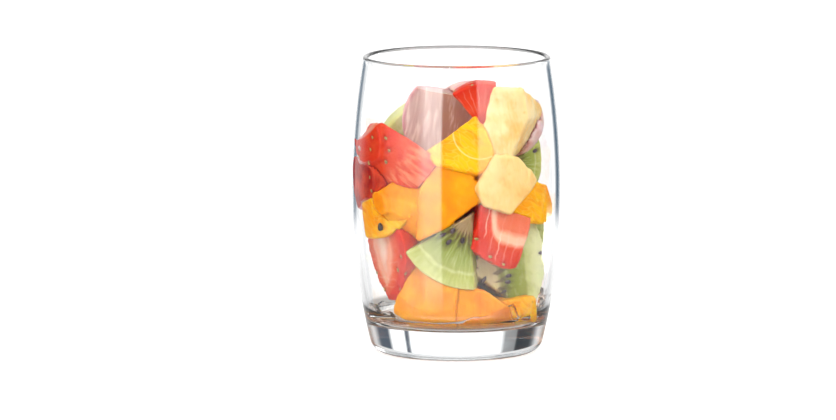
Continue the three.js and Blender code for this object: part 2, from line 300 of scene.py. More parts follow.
@dataclass(frozen=True)
class Juicy:
    """Fresh-cut fruit under a film of its own juice.

    Light travels a few millimetres into the flesh, which gives soft shadows and glowing thin edges.
    The film on top gives the small sharp highlights of a wet surface.
    """

    name: str
    glow: float = 2.6  # mm that light travels in the flesh
    glow_tint: Vec3 = (1.0, 0.5, 0.2)  # how far red, green and blue go, as shares of that
    glow_weight: float = 0.6
    ior: float = 1.36  # sugar water
    shine: float = 0.15  # the flesh's own shine, most of which its film takes over
    roughness: float = 0.42
    film: float = 0.2
    film_roughness: float = 0.06
    film_ior: float = 1.33
    grain: float = 1.0  # mm across the finest grain of a cut
    grain_detail: float = 3.0
    grain_depth: float = 0.12  # mm; 0 leaves the grain out

    def material(self) -> Material:
        """The flesh itself, which each fruit gives."""
        raise NotImplementedError

    def start(self) -> tuple[Shader, Socket]:
        """Starts the material.

        Returns:
            Its shader, and the place on the piece in mm in the piece's own frame.
        """
        shader = Shader(bpy.data.materials.new(self.name))
        place = shader.add("TexCoord", out="Object")
        return shader, shader.add("VectorMath.SCALE", place, Scale=1 / MM)

    def close(
        self, shader: Shader, place: Socket, colour: Socket, *reliefs: tuple[Socket, float]
    ) -> Material:
        """Ends the material with its surface.

        Args:
            shader: The material's shader.
            place: The place on the piece in mm.
            colour: The flesh's colour.
            *reliefs: Fine relief, each a pattern from 0 to 1 and its height in mm.

        Returns:
            The material.
        """
        add = shader.add
        if self.grain_depth:
            grain = add("TexNoise", place, Scale=1 / self.grain, Detail=self.grain_detail)
            reliefs = (*reliefs, (grain, self.grain_depth))
        normal: dict[str, Socket] = {}
        for height, depth in reliefs:
            normal = {"Normal": add("Bump", Height=height, Distance=depth * MM, **normal)}
        surface = add(
            "BsdfPrincipled",
            subsurface_method="RANDOM_WALK",
            Base_Color=colour,
            Roughness=self.roughness,
            IOR=self.ior,
            Specular_IOR_Level=self.shine,
            Subsurface_Weight=self.glow_weight,
            Subsurface_Radius=self.glow_tint,
            Subsurface_Scale=self.glow * MM,
            Coat_Weight=self.film,
            Coat_Roughness=self.film_roughness,
            Coat_IOR=self.film_ior,
            **normal,
        )
        add("OutputMaterial", Surface=surface)
        return shader.owner


@dataclass(frozen=True)
class RoundFlesh(Juicy):
    """Flesh that grows in lanes round the fruit's own axis, from the core out to the skin."""

    fruit_radius: float = 16.0
    waver: float = 2.0  # mm in and out by which its zones wander
    waver_size: float = 5.0  # mm from one bulge of a zone to the next
    lanes_round: float = 34
    lane_width: float = 3.0  # mm from lane to lane along a lengthwise cut
    lane_bend: float = 4.0  # mm from one bend of a lane to the next

    def reach(self, shader: Shader, place: Socket) -> Socket:
        """The distance from the fruit's axis as a share of its radius, a little wavy.

        Args:
            shader: The material's shader.
            place: The place on the piece in mm.

        Returns:
            The share.
        """
        add = shader.add
        flat = add("VectorMath.MULTIPLY", place, (1, 1, 0))
        radius = add("VectorMath.LENGTH", flat, out="Value")
        wave = add("TexNoise", place, Scale=1 / self.waver_size, Detail=2)
        size = self.waver / self.fruit_radius
        wave = add("Math.MULTIPLY_ADD", wave, size, -size / 2)
        return add("Math.MULTIPLY_ADD", radius, 1 / self.fruit_radius, wave)

    def lane(self, shader: Shader, place: Socket) -> tuple[Socket, Socket]:
        """The lane that a point lies in: round the axis on a cut across, along it on any other.

        Args:
            shader: The material's shader.
            place: The place on the piece in mm.

        Returns:
            The closeness to the lane's middle line, from 0 to 1, and the lane's own random share.
        """
        add = shader.add
        x, y, z = (add("SeparateXYZ", place, out=axis) for axis in "XYZ")
        turn = add("Math.ARCTAN2", y, x)
        bend = add("TexNoise", place, Scale=1 / self.lane_bend, Detail=2)
        along = add("Math.MULTIPLY_ADD", z, 1 / self.lane_width, bend)
        turned = add("Math.MULTIPLY_ADD", turn, self.lanes_round / math.tau, bend)
        more = add("Math.SUBTRACT", turned, along)
        cross = add("Attribute", attribute_name="cross", out="Fac")
        count = add("Math.MULTIPLY_ADD", more, cross, along)
        half = add("Math.PINGPONG", count, 0.5)
        middle = add("Math.MULTIPLY", half, 2.0)
        number = add("Math.FLOOR", count)
        chance = add("TexWhiteNoise", noise_dimensions="1D", W=number, out="Value")
        return middle, chance


@dataclass(frozen=True)
class KiwiFlesh(RoundFlesh):
    """Ripe kiwi, peeled and sliced with a sharp knife.

    Dark flames run out from the seeds, the rim is paler and the core is a woody cream, so each cut
    shows which way the fruit lay.
    """

    name: str = "kiwi_flesh"
    glow_tint: Vec3 = (0.8, 1.0, 0.3)
    grain: float = 0.7
    grain_detail: float = 2.0
    core_share: float = 0.27
    # Partly painted shade: the core is a shaded brown, darker than its own cream.
    core: str = "A88A66"
    rim: str = "B2B75C"
    rind: str = "C8CA7E"
    fibre: float = 1.0  # mm between the fine spokes near the rim
    fibre_bend: float = 6.25  # mm along a spoke from one bend to the next

    def flames(self, shader: Shader, place: Socket, share: Socket) -> Socket:
        """Pointed dark flames, one in each lane, some longer than others.

        Args:
            shader: The material's shader.
            place: The place on the piece in mm.
            share: The distance from the axis as a share of the radius.

        Returns:
            How dark the flame is.
        """
        add = shader.add
        middle, chance = self.lane(shader, place)
        stretch = add("MapRange", chance, To=(1.18, 0.9))
        share = add("Math.MULTIPLY", share, stretch)
        core = self.core_share
        widths = ((core * 0.55, 0.0), (core, 0.75), (core + 0.12, 0.72), (0.52, 0.34), (0.66, 0.0))
        width = add("ValToRGB", share, stops=widths)
        inside = add("Math.ADD", middle, width)
        return add("MapRange", inside, interpolation_type="SMOOTHSTEP", From=(0.98, 1.4), To=(0, 0.75))

    def spokes(self, shader: Shader, place: Socket) -> Socket:
        """Fine pale spokes that run straight out from the axis.

        Args:
            shader: The material's shader.
            place: The place on the piece in mm.

        Returns:
            The pattern, from 0 to 1.
        """
        add = shader.add
        flat = add("VectorMath.MULTIPLY", place, (1, 1, 0))
        spin = add("VectorMath.NORMALIZE", flat)
        near_rim = 0.8 * self.fruit_radius
        spin = add("VectorMath.SCALE", spin, Scale=near_rim / self.fibre)
        slow = add("VectorMath.SCALE", place, Scale=1 / self.fibre_bend)
        along = add("VectorMath.ADD", spin, slow)
        return add("TexNoise", along, Scale=1.0, Detail=3, Roughness=0.6)

    def material(self) -> Material:
        """Makes the flesh for one kiwi's radius.

        Returns:
            The material.
        """
        shader, place = self.start()
        add = shader.add
        share = self.reach(shader, place)
        core = self.core_share
        zones = (
            (0.0, self.core), (core * 0.8, self.core), (core + 0.03, "84803E"), (0.45, "8A943E"),
            (0.62, "98A24A"), (0.74, "A5AC56"), (0.775, "C6CA88"), (0.81, self.rim), (1.0, self.rind),
        )
        dark_zones = (
            (0.0, "8A6A54"), (core * 0.8, "6B4E40"), (core + 0.08, "5C4E30"), (0.45, "6F7430"),
            (0.66, "98A048"),
        )
        flesh = add("ValToRGB", share, stops=zones)
        dark = add("ValToRGB", share, stops=dark_zones)
        flame = self.flames(shader, place, share)
        fine = self.spokes(shader, place)
        light = add("MapRange", fine, From=(0.5, 0.78), To=(0, 0.55))
        green = add("MapRange", fine, From=(0.48, 0.2), To=(0, 0.5))
        rayed = add("MixRGB", light, flesh, "DADDA8")
        rayed = add("MixRGB", green, rayed, "8F9A4A")
        flamed = add("MixRGB", flame, rayed, dark)
        chamber = add("Attribute", attribute_name="mark", out="Fac")
        seeded = add("MixRGB", chamber, flamed, "4A3A30")
        skin = add("Attribute", attribute_name="skin", out="Fac")
        part = add("Math.MULTIPLY", skin, 0.7)
        peeled = add("MixRGB", part, seeded, "C9C876")
        return self.close(shader, place, peeled, (fine, 0.25))


@dataclass(frozen=True)
class StrawberryFlesh(RoundFlesh):
    """Ripe strawberry: waxy red skin, and inside a pale ring with veins that run to each seed."""

    name: str = "strawberry_flesh"
    glow_tint: Vec3 = (1.0, 0.3, 0.15)
    grain: float = 0.9
    grain_depth: float = 0.3
    skin: str = "D42A08"
    deep: str = "D22C0A"
    flesh: str = "D63A14"
    outer: str = "DC461E"
    ring: str = "F2BC9C"
    heart: str = "E57550"
    shoulder: str = "EA865C"
    veins: float = 1.0
    zone_waver: float = 0.14  # the share of the depth by which its zones wander
    zone_size: float = 4.0  # mm from one bulge of a zone to the next
    blush_size: float = 5.0  # mm across a patch of its skin
    streaks: Vec3 = (0.7, 0.7, 0.06)  # how many pale streaks lie in a mm along X, Y and Z

    def inside(self, shader: Shader, place: Socket) -> tuple[Socket, Socket]:
        """The cut flesh, in zones under the skin, with its veins.

        Args:
            shader: The material's shader.
            place: The place on the piece in mm.

        Returns:
            Its colour, and the veins' pattern.
        """
        add = shader.add
        depth = add("Attribute", attribute_name="depth", out="Fac")
        wave = add("TexNoise", place, Scale=1 / self.zone_size, Detail=3)
        wave = add("Math.MULTIPLY_ADD", wave, self.zone_waver, -self.zone_waver / 2)
        moved = add("Math.ADD", depth, wave)
        zones = (
            (0.0, self.skin), (0.06, self.deep), (0.26, self.flesh), (0.37, self.outer),
            (0.47, self.ring), (0.56, self.ring), (0.68, self.heart), (1.0, self.heart),
        )
        flesh = add("ValToRGB", moved, stops=zones)
        middle, chance = self.lane(shader, place)
        vein = add("MapRange", middle, interpolation_type="SMOOTHSTEP", From=(0.72, 0.95))
        shown = ((0.02, 0.0), (0.1, 0.5), (0.3, 0.75), (0.5, 0.9), (0.7, 0.15))
        reach = add("ValToRGB", depth, stops=shown)
        vein = add("Math.MULTIPLY", vein, reach)
        most = 0.85 * self.veins
        chance = add("MapRange", chance, To=(most / 6, most))
        vein = add("Math.MULTIPLY", vein, chance)
        return add("MixRGB", vein, flesh, "FAD2BC"), vein

    def rind(self, shader: Shader, place: Socket) -> Socket:
        """The skin, which pales in streaks towards the leaves.

        Args:
            shader: The material's shader.
            place: The place on the piece in mm.

        Returns:
            Its colour.
        """
        add = shader.add
        cloud = add("TexNoise", place, Scale=1 / self.blush_size, Detail=3)
        blush = add("ValToRGB", cloud, stops=((0.3, self.skin), (0.75, "DC4A1C")))
        pale = add("Attribute", attribute_name="shoulder", out="Fac")
        combed = add("VectorMath.MULTIPLY", place, self.streaks)
        streaks = add("TexNoise", combed, Scale=1.0, Detail=2)
        streaks = add("MapRange", streaks, From=(0.42, 0.62), To=(0.1, 0.8))
        pale = add("Math.MULTIPLY", pale, streaks)
        return add("MixRGB", pale, blush, self.shoulder)

    def material(self) -> Material:
        """Makes the flesh for one strawberry's radius.

        Returns:
            The material.
        """
        shader, place = self.start()
        add = shader.add
        veined, vein = self.inside(shader, place)
        skin = add("Attribute", attribute_name="skin", out="Fac")
        dressed = add("MixRGB", skin, veined, self.rind(shader, place))
        # Painted shade: the skin is darkened in the dimple round each seed.
        pit = add("Attribute", attribute_name="mark", out="Fac")
        pit = add("Math.MULTIPLY", pit, 0.5)
        pitted = add("MixRGB", pit, dressed, "A81608")
        return self.close(shader, place, pitted, (vein, 0.15))


@dataclass(frozen=True)
class MangoFlesh(Juicy):
    """Ripe mango: dense, smooth and deep yellow, with fine strands along the stone."""

    name: str = "mango_flesh"
    grain: float = 1.3
    grain_depth: float = 0.2
    light: str = "F7A604"
    dark: str = "EE8C00"
    strand: float = 0.9  # mm between strands
    strand_length: float = 10.0
    cloud: float = 8.0  # mm across a cloud of the darker or lighter yellow

    def material(self) -> Material:
        """Makes the flesh.

        Returns:
            The material.
        """
        shader, place = self.start()
        add = shader.add
        narrow = 1 / self.strand
        stretched = add("VectorMath.MULTIPLY", place, (narrow, narrow, 1 / self.strand_length))
        strands = add("TexNoise", stretched, Scale=1.0, Detail=3, Roughness=0.55)
        cloud = add("TexNoise", place, Scale=1 / self.cloud, Detail=3)
        base = add("ValToRGB", cloud, stops=((0.35, self.dark), (0.65, self.light)))
        line = add("MapRange", strands, From=(0.6, 0.78), To=(0, 0.45))
        lined = add("MixRGB", line, base, "FBC040")
        return self.close(shader, place, lined, (strands, 0.2))


@dataclass(frozen=True)
class Combed(Juicy):
    """Flesh of long cells that lie side by side at a slant to the piece."""

    cell: float = 1.0  # mm across a cell
    length: float = 4.0  # its length over its width
    slant: Vec3 = (0.0, 0.0, 0.0)  # how the cells lie, in radians about X, Y and Z
    bend: float = 5.0  # mm that they wander from straight
    bend_size: float = 7.0  # mm from one bend to the next

    def combed(self, shader: Shader, place: Socket) -> Socket:
        """The place, counted in cells.

        Args:
            shader: The material's shader.
            place: The place on the piece in mm.

        Returns:
            The place with its third number along the cells.
        """
        add = shader.add
        bend = add("TexNoise", place, Scale=1 / self.bend_size, Detail=1, out="Color")
        bend = add("VectorMath.SCALE", bend, Scale=self.bend)
        bent = add("VectorMath.ADD", place, bend)
        tilted = add("VectorRotate", bent, rotation_type="EULER_XYZ", Rotation=self.slant)
        narrow = 1 / self.cell
        return add("VectorMath.MULTIPLY", tilted, (narrow, narrow, narrow / self.length))


@dataclass(frozen=True)
class OrangeFlesh(Combed):
    """Orange cut across its segments: juice sacs side by side, thin white skins between segments."""

    name: str = "orange_flesh"
    film: float = 0.1
    grain: float = 1.1
    cell: float = 1.5  # a juice sac
    slant: Vec3 = (0.4, 0.9, 0.3)
    light: str = "FFBC00"
    dark: str = "F99C00"
    skin: float = 0.22  # mm, drawn a little thicker than the real film so that it shows

    def material(self) -> Material:
        """Makes the flesh.

        Returns:
            The material.
        """
        shader, place = self.start()
        add = shader.add
        packed = self.combed(shader, place)
        edge = add("TexVoronoi", packed, feature="DISTANCE_TO_EDGE", Scale=1.0)
        sacs = add("TexVoronoi", packed, feature="SMOOTH_F1", Scale=1.0, out="Color")
        tone = add("SeparateXYZ", sacs)
        base = add("ValToRGB", tone, stops=((0.15, self.dark), (0.8, self.light)))
        wall = add("MapRange", edge, From=(0.09, 0), To=(0, 0.35))
        walled = add("MixRGB", wall, base, "FFDC62")
        away = add("Attribute", attribute_name="membrane", out="Fac")
        away = add("Math.ABSOLUTE", away)
        edges = (self.skin * 1.6, self.skin * 0.4)
        line = add("MapRange", away, interpolation_type="SMOOTHSTEP", From=edges, To=(0, 0.45))
        skinned = add("MixRGB", line, walled, "FFE9A8")
        puff = add("MapRange", edge, From=(0, 0.35))
        return self.close(shader, place, skinned, (puff, 0.12))


@dataclass(frozen=True)
class PineappleFlesh(Combed):
    """Ripe pineapple: pale yellow bundles of fibre, glassy where the juice sits between them."""

    name: str = "pineapple_flesh"
    glow: float = 3.4
    glow_tint: Vec3 = (1.0, 0.8, 0.5)
    film: float = 0.4
    grain_depth: float = 0.0
    length: float = 9.0
    slant: Vec3 = (0.15, 0.2, 0.0)
    bend: float = 4.0
    bend_size: float = 8.0
    light: str = "FADCA0"
    dark: str = "F1B35C"
    cloud: float = 7.0  # mm across a cloud of the darker or lighter yellow
    pit: float = 3.4  # mm from one small pit to the next

    def material(self) -> Material:
        """Makes the flesh.

        Returns:
            The material.
        """
        shader, place = self.start()
        add = shader.add
        combed = self.combed(shader, place)
        fibres = add("TexNoise", combed, Scale=1.0, Detail=4, Roughness=0.6)
        cloud = add("TexNoise", place, Scale=1 / self.cloud, Detail=2)
        both = add("Math.MULTIPLY_ADD", fibres, 0.4, cloud)
        tones = ((0.42, self.dark), (0.6, "F6C87C"), (0.8, self.light))
        base = add("ValToRGB", both, stops=tones)
        pits = add("TexVoronoi", place, Scale=1 / self.pit)
        pit = add("MapRange", pits, interpolation_type="SMOOTHSTEP", From=(0.2, 0.06), To=(0, 0.35))
        pitted = add("MixRGB", pit, base, "EFAE48")
        return self.close(shader, place, pitted, (fibres, 0.55), (pits, 0.1))


@dataclass(frozen=True)
class GrapeFlesh(Juicy):
    """Large red grape, halved: a tight bloomed skin round glassy flesh with faint veins."""

    name: str = "grape_flesh"
    glow: float = 3.5
    glow_weight: float = 0.7
    grain: float = 1.6
    grain_detail: float = 2.0
    skin: str = "B27882"
    flesh: str = "B28A80"
    vein: str = "E0CCC0"
    bloom: str = "D2A4AA"
    bloom_size: float = 4.0  # mm across a patch of bloom
    veins: Vec3 = (0.7, 0.7, 0.12)  # how many veins lie in a mm along X, Y and Z

    def material(self) -> Material:
        """Makes the skin and the flesh.

        Returns:
            The material.
        """
        shader, place = self.start()
        add = shader.add
        depth = add("Attribute", attribute_name="depth", out="Fac")
        stretched = add("VectorMath.MULTIPLY", place, self.veins)
        veins = add("TexNoise", stretched, Scale=1.0, Detail=4, Distortion=0.8)
        line = add("MapRange", veins, From=(0.5, 0.72), To=(0, 0.75))
        zones = ((0.0, self.skin), (0.05, "A8686A"), (0.14, self.flesh), (1.0, "AC8474"))
        inside = add("ValToRGB", depth, stops=zones)
        veined = add("MixRGB", line, inside, self.vein)
        cloud = add("TexNoise", place, Scale=1 / self.bloom_size, Detail=4)
        rind = add("ValToRGB", cloud, stops=((0.35, self.skin), (0.7, self.bloom)))
        skin = add("Attribute", attribute_name="skin", out="Fac")
        dressed = add("MixRGB", skin, veined, rind)
        return self.close(shader, place, dressed, (veins, 0.1))


@dataclass(frozen=True)
class SeedShell:
    """A hard seed coat, dry and satin: darker at one side, with a soft highlight."""

    name: str
    dark: str
    light: str
    roughness: float = 0.3
    film: float = 0.4
    patches: float = 0.7  # how many patches of tone lie in a mm

    def material(self) -> Material:
        """Makes the shell.

        Returns:
            The material.
        """
        shader = Shader(bpy.data.materials.new(self.name))
        add = shader.add
        place = add("TexCoord", out="Object")
        tone = add("TexNoise", place, Scale=self.patches / MM, Detail=2)
        shell = add("ValToRGB", tone, stops=((0.35, self.dark), (0.7, self.light)))
        surface = add("BsdfPrincipled", shell, Roughness=self.roughness, Coat_Weight=self.film)
        add("OutputMaterial", Surface=surface)
        return shader.owner


@dataclass(frozen=True)
class Clear:
    """A clear material: still surfaces, with its colour in its depth."""

    name: str
    ior: float
    tint: str
    tint_density: float  # per metre
    passes: Colour = (0.97, 0.98, 0.98, 1)  # what is left of the light that crosses it

    def material(self) -> Material:
        """Makes the material; light for the fruit behind it passes straight through.

        Returns:
            The material.
        """
        shader = Shader(bpy.data.materials.new(self.name))
        add = shader.add
        body = add("BsdfPrincipled", "FFFFFF", Roughness=0.0, IOR=self.ior, Transmission_Weight=1.0)
        clear = add("BsdfTransparent", self.passes)
        shadow = add("LightPath", out="Is Shadow Ray")
        surface = add("MixShader", shadow, body, clear)
        depth = add("VolumeAbsorption", self.tint, Density=self.tint_density)
        add("OutputMaterial", Surface=surface, Volume=depth)
        return shader.owner


@dataclass(frozen=True)
class SodaLimeGlass(Clear):
    """Machine-blown soda-lime glass, fire-polished: colourless face on, blue-grey in its depth."""

    name: str = "soda_lime_glass"
    ior: float = 1.52
    tint: str = "E3EEF2"
    tint_density: float = 5.0


@dataclass(frozen=True)
class FruitJuice(Clear):
    """Juice that has run down off the mango and orange: thin, clear and deep yellow."""

    name: str = "fruit_juice"
    ior: float = 1.345
    tint: str = "F9B64C"
    tint_density: float = 45.0
    passes: Colour = (1.0, 0.93, 0.75, 1)


# ---------------------------------------------------------------- tumbler


@dataclass
class Turned:
    """A clear body turned round the upright axis."""

    segments: int = 176

    def profile(self) -> Outline:
        """Its closed outline, from the axis below round to the axis above."""
        raise NotImplementedError

    def settle(self, points: Array) -> Array:
        """The turned points, in mm, with whatever isn't quite round about them."""
        return points

    def turn(self, name: str, finish: Clear) -> Object:
        """Turns the outline round the axis.

        Args:
            name: The object's name.
            finish: What it is made of.

        Returns:
            The body, riding on the part.
        """
        first, *rings, last = self.profile()
        angles = np.arange(self.segments) * 2 * math.pi / self.segments
        spokes = np.stack([np.cos(angles), np.sin(angles), np.zeros(self.segments)], axis=1)
        points = [spokes * r + np.array([0, 0, z]) for r, z in rings]
        ends = np.array([[0, 0, first[1]], [0, 0, last[1]]])
        settled = self.settle(np.concatenate([*points, ends]))
        faces = ring_faces(len(rings), self.segments)
        made = mesh_object(name, settled * MM, faces, finish.material())
        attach(made, BODY)
        return made


@dataclass
class Tumbler(Turned):
    """The barrel-shaped tumbler, turned smooth from the same sizes as its solid."""

    height: float = 106.0
    belly_radius: float = 37.5
    belly_height: float = 58.0
    upper_arc: float = 281.0
    lower_arc: float = 225.0
    foot_fillet: float = 5.5
    wall: float = 2.0
    floor_height: float = 11.0
    floor_fillet: float = 8.0
    punt_radius: float = 19.0
    punt_depth: float = 0.9

    def side_radius(self, z: float) -> float:
        """The outer radius of the side at a height."""
        arc = self.upper_arc if z > self.belly_height else self.lower_arc
        return self.belly_radius - (arc - math.sqrt(arc**2 - (z - self.belly_height) ** 2))

    def corner(self, inset: float, level: float, fillet: float, steps: int) -> Outline:
        """A rounded corner between a level line and the side.

        Args:
            inset: How far inside the outer side the corner's side runs.
            level: The height of the level line.
            fillet: The corner's radius.
            steps: How many steps round it.

        Returns:
            The outline from the level line up to the side.
        """
        touch, lean = level + fillet, 0.0
        for _ in range(20):
            rise = self.side_radius(touch + 0.05) - self.side_radius(touch - 0.05)
            lean = math.atan(rise / 0.1)
            touch = level + fillet * (1 - math.sin(lean))
        centre = self.side_radius(touch) - inset - fillet * math.cos(lean)
        angles = np.linspace(-math.pi / 2, -lean, steps + 1)
        return [(centre + fillet * math.cos(a), level + fillet + fillet * math.sin(a)) for a in angles]

    def bore(self) -> Outline:
        """The inner side from the floor up to the lip.

        Returns:
            Its outline.
        """
        bottom = self.corner(self.wall, self.floor_height, self.floor_fillet, 16)
        heights = np.linspace(bottom[-1][1], self.height - self.wall / 2 - 0.2, 50)[1:]
        return [*bottom, *((self.side_radius(z) - self.wall, z) for z in heights)]

    def bore_radius(self, heights: Array) -> Array:
        """The inner side's radius at some heights."""
        radii, levels = zip(*self.bore())
        return np.interp(heights, levels, radii)

    def profile(self) -> Outline:
        """The glass: under the foot, up the outside, over the lip and down the inside.

        Returns:
            Its closed outline.
        """
        punt_arc = (self.punt_radius**2 + self.punt_depth**2) / (2 * self.punt_depth)
        punt = [
            (r, self.punt_depth - punt_arc + math.sqrt(punt_arc**2 - r**2))
            for r in np.linspace(0, self.punt_radius, 12)
        ]
        lip = self.wall / 2
        lip_height = self.height - lip
        foot = self.corner(0, 0, self.foot_fillet, 12)
        outside = [(self.side_radius(z), z) for z in np.linspace(foot[-1][1], lip_height, 56)[1:]]
        middle = self.side_radius(lip_height) - lip
        rim = [
            (middle + lip * math.cos(a), lip_height + lip * math.sin(a))
            for a in np.linspace(0, math.pi, 13)[1:]
        ]
        bore = self.bore()
        floor = [(r, self.floor_height) for r in np.linspace(bore[0][0], 0, 8)[1:]]
        return [*punt, *foot, *outside, *rim, *reversed(bore), *floor]

    def build(self) -> Object:
        """Makes the glass.

        Returns:
            The tumbler, which stands for its node.
        """
        made = self.turn("tumbler_glass", SodaLimeGlass())
        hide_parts("tumbler")
        return made


@dataclass
class JuicePool(Turned):
    """The juice that has run down to the tumbler's floor, with its surface drawn up at the glass."""

    tumbler: Tumbler = field(default_factory=Tumbler)
    level: float = 13.8  # mm above the table
    drawn_up: float = 0.7  # mm that its edge climbs the glass all round
    drawn_over: float = 0.9  # mm from the glass over which that climb dies away
    wet: float = 0.05  # mm that it reaches into the glass, so that no air is left between
    runs: float = 7.0  # mm that the highest run of juice clings up the glass
    run_width: float = 6.0
    run_share: float = 0.35  # how far the noise that makes the runs is raised, so that more show
    run_depth: float = 0.8  # mm from the glass over which a run thins out

    def profile(self) -> Outline:
        """The pool, with its surface finely divided near the glass.

        Returns:
            Its closed outline.
        """
        top = self.level + self.drawn_up
        side = [(r + self.wet, z - self.wet) for r, z in self.tumbler.bore() if z < top]
        edge = float(self.tumbler.bore_radius(np.array(top))) + self.wet
        surface = [
            (edge - away, self.level + self.drawn_up * math.exp(-away / self.drawn_over))
            for away in (0, 0.2, 0.45, 0.8, 1.3, 2.0, 3.2, 5.0)
        ]
        flat = [(r, self.level) for r in np.linspace(edge - 7, 0, 8)]
        return [(0, side[0][1]), *side, *surface, *flat]

    def settle(self, points: Array) -> Array:
        """The pool with its surface clinging up the glass in uneven runs.

        Args:
            points: Rows of X, Y and Z in mm, all round the axis.

        Returns:
            The same rows, moved.
        """
        radius = np.hypot(points[:, 0], points[:, 1])
        away = self.tumbler.bore_radius(points[:, 2]) + self.wet - radius
        raised = Noise(23).at(points * (1, 1, 0), self.run_width) + self.run_share
        wave = np.clip(raised, 0, 1) ** 1.5
        top = points[:, 2] > self.level - 0.01
        climb = self.runs * wave * np.exp(-np.clip(away, 0, None) / self.run_depth)
        height = points[:, 2] + top * climb
        glass = self.tumbler.bore_radius(height) + self.wet
        scale = np.where(top & (away < 0.01), glass / np.maximum(radius, 1), 1)
        return np.column_stack([points[:, 0] * scale, points[:, 1] * scale, height])

    def build(self) -> Object:
        """Makes the pool.

        Returns:
            The juice.
        """
        made = self.turn("juice_pool", FruitJuice())
        return made


# ---------------------------------------------------------------- fruit


class Grain(Enum):
    """How fine a piece's mesh is, in mm from point to point."""

    FRONT = 0.46
    SIDE = 0.7
    CORE = 1.0


@dataclass(frozen=True)
class Spot:
    """A place on a piece where a seed sits, in the piece's own frame in mm."""

    point: Array
    along: Array  # the way its tip points


@dataclass(frozen=True)
class Seed:
    """One kind of seed: a teardrop, lying on its side."""

    size: Vec3  # its length, width and thickness
    sunk: float  # mm that its middle lies under the surface
    shell: SeedShell
    rings: int = 7
    sides: int = 10
    taper: float = 0.32  # how much blunter it is at one end

    def shape(self) -> tuple[Array, Faces]:
        """A seed of length, width and thickness one.

        Returns:
            Its points, with its length along X, and its faces.
        """
        body = []
        for a in np.linspace(0, math.pi, self.rings + 2)[1:-1]:
            girth = math.sin(a) * (1 - self.taper * math.cos(a)) / 2
            body += [
                (math.cos(a) / 2, girth * math.cos(b), girth * math.sin(b))
                for b in np.arange(self.sides) * math.tau / self.sides
            ]
        faces = [(a, *rest[::-1]) for a, *rest in ring_faces(self.rings, self.sides)]
        return np.array([*body, (0.5, 0, 0), (-0.5, 0, 0)]), faces


class Heap:
    """The heap of solids in the tumbler, which soft flesh closes up to and is pressed against."""

    CLOSE = 1.3  # mm of gap that a piece closes, together with its neighbour
    SWELL = 0.2  # mm that flesh swells where nothing is near
    OVERLAP = 0.12  # mm that each of two touching pieces is pressed into the other
    WALL = 1.7  # mm of gap to the glass that wet flesh closes at the heap's sides
    WET = 0.06  # mm that flesh is flattened into the glass, so that no air is left between
    INSIDE = 0.4  # mm under a piece's surface where the search for its neighbours starts
    FLOOR = 0.05  # mm that flesh stays above the glass floor
    CORNER = 4  # mm above the floor up to which the glass's rounded corner is left to the solids
    SIDES = (21, 26)  # mm from the middle plane over which pieces begin to cling to the glass

    def __init__(self, tumbler: Tumbler) -> None:
        """Keeps the fruit's solids.

        Args:
            tumbler: The glass round them.
        """
        self.tumbler = tumbler
        self.solids: dict[str, tuple[Array, Array]] = {}
        for name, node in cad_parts.items():
            if name != "tumbler":
                node.data.calc_loop_triangles()
                points = mesh_rows(node.data.vertices, "co", 3, float) / MM
                self.solids[name] = (points, mesh_rows(node.data.loop_triangles, "vertices", 3, int))

    def neighbours(self, name: str) -> BVHTree:
        """The surfaces of every solid but one.

        Args:
            name: The one to leave out.

        Returns:
            A tree of their triangles in mm.
        """
        points, faces, count = [], [], 0
        for other, (corners, triangles) in self.solids.items():
            if other != name:
                points.append(corners)
                faces.append(triangles + count)
                count += len(corners)
        return BVHTree.FromPolygons(np.concatenate(points).tolist(), np.concatenate(faces).tolist())

    def press(
        self, name: str, points: Array, normals: Array, edges: Array
    ) -> tuple[Array, Array]:
        """How far a piece's points move out to close up to what is near.

        Args:
            name: The piece's node.
            points: Its points in the row's frame in mm.
            normals: The normals there.
            edges: Pairs of point numbers.

        Returns:
            Millimetres for each point, and the share to which it touches something.
        """
        tree = self.neighbours(name)
        move, touch = np.full(len(points), self.SWELL), np.zeros(len(points))
        starts = (points - self.INSIDE * normals).tolist()
        for i, (start, normal) in enumerate(zip(starts, normals.tolist())):
            distance = tree.ray_cast(start, normal, self.CLOSE + self.INSIDE)[3]
            if distance is not None:
                move[i], touch[i] = (distance - self.INSIDE) / 2 + self.OVERLAP, 1.0
        radius = np.hypot(points[:, 0], points[:, 1])
        outward = points[:, :2] / radius[:, None]
        facing = np.sum(outward * normals[:, :2], axis=1)
        gap = self.tumbler.bore_radius(points[:, 2]) - radius
        near = smooth_step(self.WALL, self.WALL - 0.5, gap) * smooth_step(0.5, 0.75, facing)
        near *= smooth_step(*self.SIDES, np.abs(points[:, 0]))
        move += near * (gap + self.WET - move)
        touch = np.maximum(touch, near)
        for _ in range(3):
            move, touch = (self.eased(values, edges) for values in (move, touch))
        return move, touch

    def eased(self, values: Array, edges: Array) -> Array:
        """Each point's value, averaged half and half with its neighbours' values.

        Args:
            values: A value for each point.
            edges: Pairs of point numbers.

        Returns:
            The eased values.
        """
        total, count = np.zeros(len(values)), np.zeros(len(values))
        for a, b in ((0, 1), (1, 0)):
            np.add.at(total, edges[:, a], values[edges[:, b]])
            np.add.at(count, edges[:, a], 1)
        return (values + total / np.maximum(count, 1)) / 2

    def within(self, points: Array) -> Array:
        """Points with those past the glass's inner side or floor brought back to it.

        Args:
            points: Rows in the row's frame in mm.

        Returns:
            The same rows, moved.
        """
        radius = np.hypot(points[:, 0], points[:, 1])
        most = self.tumbler.bore_radius(points[:, 2]) + self.WET
        floor = self.tumbler.floor_height
        share = np.where(points[:, 2] > floor + self.CORNER, np.minimum(most / radius, 1), 1)
        heights = np.maximum(points[:, 2], floor + self.FLOOR)
        return np.column_stack([points[:, :2] * share[:, None], heights])


